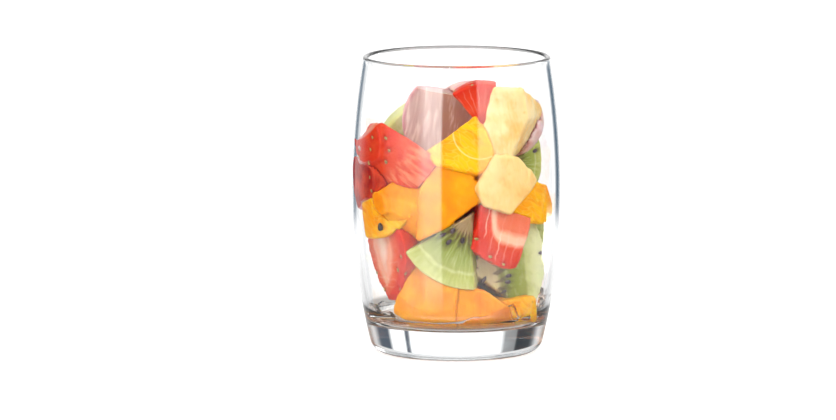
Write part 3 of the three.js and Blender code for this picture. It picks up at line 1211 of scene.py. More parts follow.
@dataclass
class Fruit:
    """One cut piece of fruit, grown from its node's solid.

    The piece's own origin lies at `at`, its Z points along `axis` and its front looks along `face`.
    """

    name: str
    at: Vec3
    axis: Vec3
    face: Vec3
    grain: Grain = Grain.FRONT
    seeds_seen: tuple[tuple[float, float], ...] = ()  # seeds at the front: mm right and up, face on
    finish: Juicy = Juicy("flesh")

    SLOT = ""
    SEED = None  # its kind of seed
    WAVES = ()  # the relief of its surface: heights in mm, each with a grain size
    TOUCHED = 0.85  # how much of that relief is pressed flat where the piece touches another
    SEED_REACH = 0.7  # mm from a place for a seed to the surface, at the most
    SEED_FACING = 0.15  # how far a surface may face the front before only `seeds_seen` counts there
    SEED_SIZES = (0.85, 1.12)  # the smallest and largest share of a seed's size
    SEED_LEAN = 0.15  # how far its tip leans at random

    def turn(self) -> Matrix:
        """The piece's place.

        Returns:
            The matrix from its own frame to the row's frame, in metres.
        """
        z = Vector(self.axis).normalized()
        y = -Vector(self.face)
        y = (y - z * y.dot(z)).normalized()
        columns = Matrix((y.cross(z), y, z)).transposed().to_4x4()
        return Matrix.Translation(Vector(self.at) * MM) @ columns

    def to_row(self, points: Array) -> Array:
        """Points in the piece's own frame as points in the row's frame, all in mm."""
        return points @ np.array(self.turn().to_3x3()).T + np.array(self.at)

    def to_own(self, points: Array) -> Array:
        """Points in the row's frame as points in the piece's own frame, all in mm."""
        return (points - np.array(self.at)) @ np.array(self.turn().to_3x3())

    def blank(self) -> Mesh:
        """Meshes the node's solid evenly, with its knife edges rounded.

        Returns:
            The mesh in the piece's own frame.
        """
        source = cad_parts[self.name].data.copy()
        source.transform(self.turn().inverted())
        source.materials.clear()
        rough = add_object(self.name + "_rough", source)
        remesh = rough.modifiers.new("even", "REMESH")
        remesh.mode = "VOXEL"
        remesh.voxel_size = self.grain.value * MM * 1.0
        soften = rough.modifiers.new("soften", "SMOOTH")
        soften.factor = 0.5
        soften.iterations = 1
        graph = bpy.context.evaluated_depsgraph_get()
        mesh = bpy.data.meshes.new_from_object(rough.evaluated_get(graph))
        bpy.data.objects.remove(rough)
        bpy.data.meshes.remove(source)
        mesh.name = self.name
        return mesh

    def marks(self, points: Array, normals: Array) -> Marks:
        """Where the finish changes, at points in mm with their normals."""
        return {}

    def relief(self, points: Array, marks: Marks, noise: Noise) -> Array:
        """How far each point, in mm, moves out along its normal, by the piece's own noise."""
        return sum(height * noise.at(points, size) for height, size in self.WAVES)

    def seed_places(self, rng: np.random.Generator) -> list[Vec3]:
        """Places in the piece's own frame where a seed may lie, if the surface passes there."""
        return []

    def seed_fits(self, point: Array, normal: Array) -> bool:
        """Whether a seed shows on this part of the surface."""
        return True

    def seed_along(self, point: Array) -> Array:
        """The direction of a seed's tip at a point."""
        return np.array([0.0, 0.0, 1.0])

    def mark_spots(self, points: Array, spots: list[Spot], marks: Marks) -> None:
        """Adds what surrounds the seeds to the marks."""

    def spots(self, tree: BVHTree, rng: np.random.Generator) -> list[Spot]:
        """Finds where the seeds sit on the blank.

        Args:
            tree: The blank's surface in mm.
            rng: The piece's own random numbers.

        Returns:
            The spots, those seen from the front first.
        """
        back = np.array(look_direction(0, CAMERA_ELEVATION))
        up = np.array([0, back[2], -back[1]])
        hits = []
        for right, rise in self.seeds_seen:
            nearest = np.array([right, 0, 0]) + up * rise + back * (np.array(self.at) @ back + 6)
            near, far = self.to_own(np.array([nearest, nearest + back * 100]))
            hit = tree.ray_cast(far.tolist(), unit(near - far).tolist())
            hits.append(tree.find_nearest(near.tolist()) if hit[0] is None else hit)
        towards = unit(self.to_own(np.array([self.at + back]))[0])
        for place in self.seed_places(rng):
            hit = point, normal, _, distance = tree.find_nearest(place)
            if point is None or distance > self.SEED_REACH:
                continue
            p, n = np.array(point), np.array(normal)
            if self.seed_fits(p, n) and (not self.seeds_seen or n @ towards <= self.SEED_FACING):
                hits.append(hit)
        found = []
        for point, normal, _, _ in hits:
            p, n = np.array(point), np.array(normal)
            along = self.seed_along(p)
            found.append(Spot(p, unit(along - n * (along @ n) + 1e-6)))
        return found

    def dress(self, **sizes: float) -> Material:
        """The piece's own material, with these of its finish's fields changed."""
        return replace(self.finish, name=f"{self.finish.name}_{self.name}", **sizes).material()

    def build(self, heap: Heap) -> Object:
        """Makes the piece and its seeds.

        Args:
            heap: The solids that it lies among.

        Returns:
            The piece, which stands for its node.
        """
        seed = sum(ord(c) * (i + 1) for i, c in enumerate(self.name))
        rng, noise = np.random.default_rng(seed), Noise(seed)
        mesh = self.blank()
        points = mesh_rows(mesh.vertices, "co", 3, float) / MM
        normals = mesh_rows(mesh.vertices, "normal", 3, float)
        edges = mesh_rows(mesh.edges, "vertices", 2, int)
        polygons = [tuple(p.vertices) for p in mesh.polygons]
        spots = self.spots(BVHTree.FromPolygons(points.tolist(), polygons), rng)
        marks = self.marks(points, normals)
        self.mark_spots(points, spots, marks)
        spin = np.array(self.turn().to_3x3())
        move, touch = heap.press(self.name, self.to_row(points), normals @ spin.T, edges)
        move += self.relief(points, marks, noise) * (1 - self.TOUCHED * touch)
        points = self.to_own(heap.within(self.to_row(points + normals * move[:, None])))
        mesh.vertices.foreach_set("co", (points * MM).ravel())
        for name, share in marks.items():
            layer = mesh.attributes.new(name, "FLOAT", "POINT")
            layer.data.foreach_set("value", share.astype(np.float32))
        mesh.shade_smooth()
        mesh.materials.append(self.dress())
        mesh.update()
        made = add_object(self.name + "_cut", mesh)
        made.matrix_world = self.turn()
        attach(made, BODY)
        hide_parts(self.name)
        if spots:
            self.lay_seeds(spots, BVHTree.FromPolygons(points.tolist(), polygons), rng, heap)
        return made

    def lay_seeds(
        self, spots: list[Spot], tree: BVHTree, rng: np.random.Generator, heap: Heap
    ) -> None:
        """Lays one seed at each spot, as one mesh.

        Args:
            spots: Where they lie.
            tree: The finished surface in mm.
            rng: The piece's own random numbers.
            heap: The glass that they stay inside.
        """
        body, shape = self.SEED.shape()
        points, faces = [], []
        for spot in spots:
            point, normal, _, _ = tree.find_nearest(spot.point)
            up = unit(np.array(normal))
            along = unit(spot.along - up * (spot.along @ up) + rng.normal(0, self.SEED_LEAN, 3))
            along = unit(along - up * (along @ up))
            scale = np.array(self.SEED.size) * rng.uniform(*self.SEED_SIZES)
            axes = np.stack([along * scale[0], np.cross(up, along) * scale[1], up * scale[2]])
            start = len(points) * len(body)
            points.append(body @ axes + np.array(point) - up * self.SEED.sunk)
            faces += [tuple(start + c for c in face) for face in shape]
        placed = self.to_own(heap.within(self.to_row(np.concatenate(points))))
        made = mesh_object(self.name + "_seeds", placed * MM, faces, self.SEED.shell.material())
        made.matrix_world = self.turn()
        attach(made, BODY)


@dataclass
class RoundFruit(Fruit):
    """A piece of a fruit that is round about its own Z, with part of its skin on it."""

    radius: float = 16.0
    start: float = 0.0
    end: float = 1.0
    heart: Vec3 = (0.0, 0.0, 0.0)  # mm that the flesh's middle lies off the axis, in the row's frame
    cap: float = 0.0  # mm under the piece's end over which its flesh turns to skin

    STRETCH = 2.5  # the whole fruit's length over its radius
    HOLLOW = 0.0  # mm that the surface dips at a seed
    CAP_POWER = 1.8  # how square the flesh's zones turn from the side to the capped end

    def radius_at(self, share: Array) -> Array:
        """The whole fruit's radius at a share of its length."""
        return self.radius * np.sqrt(np.clip(1 - (2 * share - 1) ** 2, 1e-4, 1))

    def share_of(self, z: Array) -> Array:
        """The share of the whole fruit's length at a height in the piece's own frame."""
        return np.clip(z / (self.STRETCH * self.radius) + (self.start + self.end) / 2, 0.002, 0.998)

    def outward(self, points: Array) -> Array:
        """The direction out of the whole fruit's skin.

        Args:
            points: Rows in the piece's own frame in mm.

        Returns:
            A unit row for each point.
        """
        z = points[:, 2]
        slope = (self.radius_at(self.share_of(z + 0.3)) - self.radius_at(self.share_of(z - 0.3))) / 0.6
        return unit(np.column_stack([unit(points[:, :2]), -slope]))

    def marks(self, points: Array, normals: Array) -> Marks:
        """Where the skin is, how deep under it each point lies, and which cuts run across.

        Args:
            points: The blank's points in mm.
            normals: The normals there.

        Returns:
            The marks.
        """
        radius = self.radius_at(self.share_of(points[:, 2]))
        depth = np.clip(1 - np.hypot(points[:, 0], points[:, 1]) / radius, 0, 1)
        facing = np.sum(self.outward(points) * normals, axis=1)
        skin = smooth_step(0.45, 0.75, facing) * smooth_step(0.55, 0.35, depth)
        middle = np.array(self.heart) @ np.array(self.turn().to_3x3())
        inner = np.clip(1 - np.hypot(*(points - middle).T[:2]) / radius, 0, 1)
        if self.cap:
            tip = (self.end - self.start) / 2 * self.STRETCH * self.radius
            end = np.clip((tip - points[:, 2]) / self.cap, 0, 1)
            power = self.CAP_POWER
            inner = np.clip(1 - ((1 - inner) ** power + (1 - end) ** power) ** (1 / power), 0, 1)
        cross = smooth_step(0.45, 0.8, np.abs(normals[:, 2]))
        return {"skin": skin, "depth": inner, "cross": cross, "mark": np.zeros(len(points))}

    def relief(self, points: Array, marks: Marks, noise: Noise) -> Array:
        """Waves, hollows at the seeds, and skin that rises to the whole fruit's round shape.

        Args:
            points: The blank's points in mm.
            marks: The values that `marks` gave.
            noise: The piece's own noise.

        Returns:
            Millimetres for each point.
        """
        gap = self.radius_at(self.share_of(points[:, 2])) - np.hypot(points[:, 0], points[:, 1])
        lift = marks["skin"] * np.clip(gap, 0, 0.45) * smooth_step(1.3, 0.7, gap)
        return super().relief(points, marks, noise) - self.HOLLOW * marks["mark"] + lift


@dataclass
class Kiwi(RoundFruit):
    """A piece of a peeled kiwi."""

    start: float = 0.36
    end: float = 0.54
    finish: KiwiFlesh = KiwiFlesh()

    SLOT = "kiwi"
    SEED = Seed((2.7, 1.5, 1.1), 0.1, SeedShell("kiwi_seed_shell", "2A1A20", "55404A"))
    WAVES = ((0.25, 6.0), (0.1, 1.8))
    HOLLOW = 0.3
    CHAMBERS = (0.27, 0.42)  # shares of the radius between which the seeds lie
    SEED_TURN = 10.5  # degrees round the core from seed to seed
    SEED_STEP = 3.1  # mm along the core from seed to seed
    FLESH_SHARE = 0.5  # the share of the radius inside which seeds show
    JUICE_WIDTH = 0.8  # mm from a seed to the edge of the dark juice round it

    def seed_places(self, rng: np.random.Generator) -> list[Vec3]:
        """A ring of seed chambers round the core, at every height and at both cuts across.

        Args:
            rng: The piece's own random numbers.

        Returns:
            Places in the piece's own frame.
        """
        places = []
        half = (self.end - self.start) / 2 * self.STRETCH * self.radius
        for angle in np.radians(np.arange(0, 360, self.SEED_TURN)):
            for z in (-half, half, *np.arange(-half + 2, half - 1, self.SEED_STEP)):
                reach = self.radius * rng.uniform(*self.CHAMBERS)
                a = angle + rng.uniform(-0.06, 0.06)
                places.append((reach * math.cos(a), reach * math.sin(a), z))
        return places

    def seed_fits(self, point: Array, normal: Array) -> bool:
        """Seeds show on the cuts, not on the peeled side."""
        return bool(np.hypot(*point[:2]) < self.FLESH_SHARE * self.radius)

    def seed_along(self, point: Array) -> Array:
        """A seed's tip points to the core."""
        return np.array([-point[0], -point[1], 0.0])

    def mark_spots(self, points: Array, spots: list[Spot], marks: Marks) -> None:
        """Marks the dark juice that lies round each seed and runs a little way outwards.

        Args:
            points: The blank's points in mm.
            spots: Where the seeds lie.
            marks: The marks, to which it adds.
        """
        chamber = marks["mark"]
        for spot in spots:
            out = unit(np.array([spot.point[0], spot.point[1], 0.0]))
            offset = points - spot.point
            along = offset @ out
            across = np.linalg.norm(offset - along[:, None] * out, axis=1)
            length = smooth_step(-2.0, 0.2, along) * smooth_step(4.5, 0.8, along)
            chamber = np.maximum(chamber, length * np.exp(-((across / self.JUICE_WIDTH) ** 2)))
        marks["mark"] = chamber * 0.7

    def dress(self) -> Material:
        """Kiwi flesh for this fruit's radius."""
        return super().dress(fruit_radius=self.radius)


@dataclass
class Strawberry(RoundFruit):
    """A piece of a strawberry without its leaves."""

    start: float = 0.14
    shoulder: float = 0.12  # the share of the fruit's length down to which its skin stays pale
    finish: StrawberryFlesh = StrawberryFlesh()

    SLOT = "strawberry"
    SEED = Seed((1.55, 1.0, 0.7), 0.02, SeedShell("strawberry_seed_shell", "8E6F30", "C0A658"))
    WAVES = ((0.3, 5.0), (0.14, 1.9))
    HOLLOW = 0.55
    DIMPLE = 1.15  # mm from a seed to the edge of its dimple
    CROWDING = 0.28  # seeds for each square mm of the fruit's length by its radius

    def radius_at(self, share: Array) -> Array:
        """The fruit is widest near its shoulder and narrows to its tip."""
        return self.radius * np.sin(math.pi * np.clip(share, 1e-3, 0.999) ** 0.62) ** 0.8

    def marks(self, points: Array, normals: Array) -> Marks:
        """Also where the skin pales towards the leaves.

        Args:
            points: The blank's points in mm.
            normals: The normals there.

        Returns:
            The marks.
        """
        share = self.share_of(points[:, 2])
        pale = smooth_step(self.shoulder + 0.05, self.shoulder - 0.06, share)
        return {**super().marks(points, normals), "shoulder": pale}

    def seed_places(self, rng: np.random.Generator) -> list[Vec3]:
        """Seeds in two crossing spirals over the skin.

        Args:
            rng: The piece's own random numbers.

        Returns:
            Places in the piece's own frame.
        """
        places = []
        length = self.STRETCH * self.radius
        step = math.radians(137.5)
        count = int(length * self.radius * self.CROWDING)
        for i in range(count):
            share = (i + 0.5) / count
            reach = float(self.radius_at(np.array(share)))
            angle = i * step + rng.uniform(-0.1, 0.1)
            z = (share - (self.start + self.end) / 2) * length
            places.append((reach * math.cos(angle), reach * math.sin(angle), z))
        return places

    def seed_fits(self, point: Array, normal: Array) -> bool:
        """Seeds sit on the skin only."""
        return bool(self.outward(point[None])[0] @ normal > 0.8)

    def mark_spots(self, points: Array, spots: list[Spot], marks: Marks) -> None:
        """Marks a dimple round each seed.

        Args:
            points: The blank's points in mm.
            spots: Where the seeds lie.
            marks: The marks, to which it adds.
        """
        for spot in spots:
            away = np.linalg.norm(points - spot.point, axis=1)
            marks["mark"] = np.maximum(marks["mark"], np.exp(-((away / self.DIMPLE) ** 2)))

    def dress(self) -> Material:
        """Strawberry flesh for this fruit's radius."""
        return super().dress(fruit_radius=self.radius)


@dataclass
class Grape(RoundFruit):
    """Half of a large red grape."""

    finish: GrapeFlesh = GrapeFlesh()

    SLOT = "grape"
    STRETCH = 2.3
    WAVES = ((0.15, 6.0),)

    def relief(self, points: Array, marks: Marks, noise: Noise) -> Array:
        """The tight smooth skin of the others, and a slightly hollow cut, in mm for each point."""
        sunk = 0.5 * (1 - marks["skin"]) * smooth_step(0.05, 0.5, marks["depth"])
        return super().relief(points, marks, noise) - sunk


@dataclass
class Mango(Fruit):
    """A chunk of ripe mango with smooth knife cuts and a few strands along Z."""

    finish: MangoFlesh = MangoFlesh()

    SLOT = "mango"
    WAVES = ((0.45, 8.0), (0.16, 2.6), (0.12, (1.4, 1.4, 9.0)))


@dataclass
class Orange(Fruit):
    """A chunk cut from a peeled orange, with swollen juice sacs; a kiwi seed may stick to it."""

    skin_arc: Vec3 = (0.0, 0.0, -99.0)  # the segment skin's middle and radius in mm: X, Z, radius
    finish: OrangeFlesh = OrangeFlesh()

    SLOT = "orange"
    SEED = Seed((3.0, 2.0, 1.2), -0.35, SeedShell("stray_seed_shell", "15100E", "3A2B26"))
    WAVES = ((0.35, 7.0), (0.16, 2.3), (0.1, (1.3, 3.5, 1.3)))

    def marks(self, points: Array, normals: Array) -> Marks:
        """How far each point lies from the skin between two segments.

        Args:
            points: The blank's points in mm.
            normals: The normals there.

        Returns:
            The marks.
        """
        middle_x, middle_z, radius = self.skin_arc
        x, _, z = self.to_row(points).T
        return {"membrane": np.hypot(x - middle_x, z - middle_z) - radius}


@dataclass
class Pineapple(Fruit):
    """A chunk of pineapple with bundles of fibre along Z and torn ends."""

    finish: PineappleFlesh = PineappleFlesh()

    SLOT = "pineapple"
    WAVES = ((0.4, 6.0), (0.22, 2.0), (0.24, (1.5, 1.5, 8.0)))


def fruit_pieces() -> list[Fruit]:
    """Every piece of fruit, where its solid lies: the front first, then the sides, back and middle.

    Returns:
        The pieces, in the order in which they are built.
    """
    side, core = Grain.SIDE, Grain.CORE
    # Painted light: the lower right wedge's core, rim and rind are paler than the other kiwi pieces', so
    # that the dimly lit wedge looks lit through; its wider core is its own.
    woody = replace(Kiwi.finish, core_share=0.3, core="DACB9C", rim="CFD48C", rind="E6E8B4")
    pale_heart = replace(
        Strawberry.finish, name="strawberry_pale_heart",
        deep="D84420", flesh="DE5428", outer="E26844", ring="F0A486", heart="F8D4C0", veins=0.3,
    )
    ripe_through = replace(
        Strawberry.finish, name="strawberry_ripe_through",
        skin="C8200A", deep="CE2E10", flesh="D63A18", outer="D8401C", ring="DE5230", heart="D63A18",
        veins=0.5,
    )
    pale_end = replace(
        Strawberry.finish, name="strawberry_pale_end",
        flesh="DC5A28", ring="E07848", heart="DE6E40", shoulder="EC8C60",
    )
    # Painted shade: a darker copy of the strawberry flesh, for the piece that lies in shade low at the left.
    dark = replace(
        Strawberry.finish, name="strawberry_painted_shade",
        skin="9A0A08", deep="A00C08", flesh="A81208", outer="A81208", ring="AC2418", heart="A81208",
        veins=0.2,
    )
    pale_skin = replace(Grape.finish, name="grape_pale_skin", skin="D9A098", bloom="EBCFCB")
    # Partly painted light: a deeper yellow copy of the pineapple flesh for the middle chunk, partly its own
    # tone and partly orange light bounced onto it from the mango beside it.
    ripe = replace(Pineapple.finish, name="pineapple_deeper_with_bounce_light", light="FAD08C", dark="F2B060")
    return [
        Kiwi(
            "kiwi_wedge_front", (5.4, -25.9, 52.8), (0.15, 0.98, 0.05), (-0.474, 0.08, -0.88),
            radius=26.5, start=0.4, end=0.57,
            seeds_seen=((-4.8, 41.5), (-1.4, 43.0), (-2.7, 39.0), (2.0, 39.6), (5.6, 40.0)),
        ),
        Strawberry(
            "strawberry_slice_front", (17.2, -25.5, 53.6), (-0.91, -0.3, 0.31), (-0.38, 0.467, -0.79),
            radius=19.3, start=0.2, end=0.58, cap=9, seeds_seen=((6.8, 40.0), (11.6, 33.8), (16.1, 31.1)),
        ),
        Strawberry(
            "strawberry_half_lower_left", (-23.9, -16.4, 34.4), (0.12, 0, -0.99), (0.85, 0.5, -0.1),
            radius=12.8, start=0.06, end=0.92, heart=(-5, 0, 0), finish=pale_heart,
            seeds_seen=(
                (-19.7, 33.6), (-20.9, 28.9), (-17.7, 27.5), (-15.7, 27.1), (-20.1, 22.3), (-14.5, 31.2),
            ),
        ),
        # Its paler finish is painted light.
        Kiwi(
            "kiwi_wedge_lower_right", (10.2, -25, 33.6), (0.13, 0, -1), (0.99, 0, 0.13),
            radius=22, finish=woody,
            seeds_seen=((18.0, 26.9), (17.7, 24.7), (16.4, 21.2), (17.3, 17.6), (10.2, 19.7), (29.3, 35.0)),
        ),
        Mango("mango_chunk_centre", (-1.1, -20.2, 55.4), (0, 0.2, 0.98), (0, -0.98, 0.2)),
        Mango("mango_slab_left", (-19.2, -22.2, 54), (0, 0.1, 0.99), (-0.3, -0.93, 0.1)),
        # Its deeper finish is partly painted orange bounce light.
        Pineapple(
            "pineapple_chunk_middle", (14.9, -19.2, 62.9), (0, 0.15, 0.98), (0.35, -0.92, 0.15), finish=ripe,
        ),
        Strawberry(
            "strawberry_half_left", (-19.2, -8.7, 76.2), (-0.8, -0.1, 0.6), (-0.6, -0.24, -0.8),
            radius=19, start=0.3, end=0.77, shoulder=0.52, finish=pale_end,
            seeds_seen=(
                (-28.5, 75.8), (-24.5, 75.5), (-29.1, 71.5), (-23.5, 71.2), (-32.7, 71.5), (-32.6, 69.1),
                (-24.6, 67.2), (-29.4, 66.9), (-27.4, 79.4), (-31.6, 66.8), (-30.3, 62.3), (-27.1, 62.2),
                (-26.1, 58.6),
            ),
        ),
        Orange(
            "orange_chunk_upper", (1.1, -17.5, 74.4), (0, 0.36, 0.93), (0.05, -0.93, 0.36),
            skin_arc=(8.0, 81.7, 9.4),
        ),
        Strawberry(
            "strawberry_wedge_top", (9, -9, 82.4), (0, 0.99, 0.1), (-0.2, 0, 0.98),
            radius=16.4, start=0.25, end=0.6, finish=ripe_through, seeds_seen=((-0.8, 92.1), (5.4, 94.3)),
        ),
        Pineapple("pineapple_chunk_top", (20, -13, 83.4), (0, 0.05, 0.99), (0.05, -0.99, 0.05)),
        Orange("orange_chunk_right", (22.2, -13.6, 55.8), (0, 0.1, 0.99), (0.6, -0.8, 0.1)),
        Orange(
            "orange_chunk_left", (-19.6, -16.4, 50.6), (0, 0, 1), (-0.55, -0.83, 0),
            seeds_seen=((-26.5, 44.3),),
        ),
        # Its dark finish is painted shade.
        Strawberry(
            "strawberry_piece_left_low", (-25, -10, 61), (-0.3, -0.3, -0.9), (-0.7, -0.7, 0),
            radius=12, end=0.8, finish=dark,
        ),
        Mango("mango_chunk_bottom_left", (-9, -17.5, 23.4), (0, 0.35, 0.93), (-0.25, -0.9, 0.35)),
        Mango("mango_chunk_bottom_middle", (8.5, -18.5, 20.5), (0, 0.1, 1), (0.15, -0.98, 0.1)),
        Orange("orange_chunk_bottom_right", (18.5, -12, 20.5), (0, 0, 1), (0.5, -0.85, 0), side),
        Grape(
            "grape_half_upper_left", (-6, -6, 81), (0.17, 0, 0.98), (-0.08, 1, -0.1), radius=13.5, end=0.8,
        ),
        Grape(
            "grape_half_right", (18.4, -1, 82.7), (0.1, 0.97, 0.2), (0.5, -0.1, -0.85), side,
            radius=12.5, finish=pale_skin,
        ),
        Grape("grape_half_top", (5, 6, 84), (1, 0.1, 0), (0, -0.2, 1), side, radius=12, finish=pale_skin),
        Kiwi("kiwi_wedge_upper_left", (-5, 4.5, 66), (0, 1, 0.05), (-0.77, 0, 0.64), side, radius=25.5),
        Kiwi(
            "kiwi_wedge_right", (15.5, -4.5, 68.5), (-0.7, 0.7, 0), (0.7, 0.7, -0.3), side,
            radius=18, seeds_seen=((28.0, 71.2),),
        ),
        Kiwi("kiwi_wedge_right_low", (12.5, -6.5, 45), (-0.4, 0.8, 0.3), (0.9, 0.4, -0.1), side, radius=22),
        Pineapple("pineapple_chunk_right_low", (18.5, 5, 26), (0.1, 0, 1), (1, 0.3, 0), side),
        Mango("mango_chunk_back_low", (9, 19.5, 23), (0, 0.1, 1), (0.3, 1, 0), side),
        Orange("orange_chunk_back_low", (-10, 16.5, 22.5), (0.1, 0, 1), (-0.5, 0.8, 0), side),
        Kiwi("kiwi_wedge_left_low", (-13, 1.5, 42), (0.85, 0.5, 0.1), (-0.25, 0.4, -0.88), side, radius=24),
        Strawberry("strawberry_half_back", (6, 18, 44), (0.7, 0.2, -0.7), (0.3, 1, 0), side, radius=15),
        Mango("mango_chunk_right", (21.5, 11, 47), (0.2, 0.2, 1), (1, 0.5, 0), side),
        Kiwi("kiwi_wedge_back", (-4, 27, 62), (0.25, -0.97, 0), (-0.4, 0, -0.9), side, radius=25),
        Pineapple("pineapple_chunk_left", (-21.5, 9.5, 57), (0.1, 0.2, 1), (-1, 0.3, 0), side),
        Orange("orange_chunk_back", (13, 18, 62), (0.2, 0, 1), (0.5, 0.85, 0.1), side),
        Strawberry(
            "strawberry_half_right_back", (18, 13.5, 71), (0.5, 0.5, -0.7), (0.6, 0.6, 0.4), side,
            radius=13.5,
        ),
        Mango("mango_chunk_back_upper", (-11, 18, 70), (0.2, 0.3, 1), (-0.4, 0.9, 0.1), side),
        Pineapple("pineapple_chunk_back_top", (13, 15, 80.5), (0.1, -0.2, 1), (0.4, 0.9, 0.2), side),
        Strawberry(
            "strawberry_quarter_back_top", (-5, 12, 77), (-0.9, 0.2, -0.25), (-0.25, 0.5, 0.85), side,
            radius=15,
        ),
        Mango("mango_chunk_core_low", (0, 2, 26), (0.1, 0.1, 1), (0.2, -1, 0), core),
        Pineapple("pineapple_chunk_core", (2, 1, 47), (0.2, 0.1, 1), (0.3, -1, 0), core),
        Orange("orange_chunk_core_high", (3, 2, 67), (0.1, 0.2, 1), (0.1, -1, 0), core),
    ]


# ---------------------------------------------------------------- studio


def face_along(thing: Object, direction: Vector) -> None:
    """Turns a lamp or a camera to look along a direction."""
    thing.rotation_mode = "QUATERNION"
    thing.rotation_quaternion = direction.to_track_quat("-Z", "Y")


@dataclass(frozen=True)
class Softbox:
    """A flat diffused lamp that faces the object."""

    name: str
    azimuth: float
    elevation: float
    distance: float  # metres, as are the width and the height
    width: float
    height: float
    radiance: float

    AIM = Vector((0, 0, 0.05))

    def build(self) -> None:
        """Puts the lamp in place."""
        light = bpy.data.lights.new(self.name, "AREA")
        light.shape = "RECTANGLE"
        light.size, light.size_y = self.width, self.height
        light.energy = self.radiance * math.pi * self.width * self.height
        lamp = add_object(self.name, light)
        away = look_direction(self.azimuth, self.elevation)
        lamp.location = away * self.distance + self.AIM
        face_along(lamp, -away)
        lamp.visible_camera = False


def both_sides(*stops: tuple[float, float]) -> Stops:
    """Stops at the right, and the same mirrored to the left."""
    return (*((-at, share) for at, share in reversed(stops)), *stops)


@dataclass(frozen=True)
class Panel:
    """A soft-edged panel far round the object: a lit screen, or a dark flag.

    Its stops give the share of it that shows at an angle: degrees from the front towards +X, and
    degrees above the table.
    """

    radiance: float | Vec3
    turns: Stops = ((-180, 1),)
    rises: Stops = ((-90, 1),)

    def colour(self) -> Colour:
        """Its light, as a socket takes it."""
        return (*self.radiance, 1) if isinstance(self.radiance, tuple) else grey(self.radiance)

    def share(self, shader: Shader, turn: Socket, rise: Socket) -> Socket:
        """How much of the panel shows in each direction.

        Args:
            shader: The world's or the screens' shader.
            turn: The direction's turn, from 0 at -180 degrees to 1 at 180.
            rise: Its rise, from 0 at -90 degrees to 1 at 90.

        Returns:
            The share from 0 to 1.
        """
        add = shader.add
        turns = [((at + 180) / 360, share) for at, share in self.turns]
        rises = [((at + 90) / 180, share) for at, share in self.rises]
        across = add("ValToRGB", turn, stops=turns)
        return add("Math.MULTIPLY", across, add("ValToRGB", rise, stops=rises))


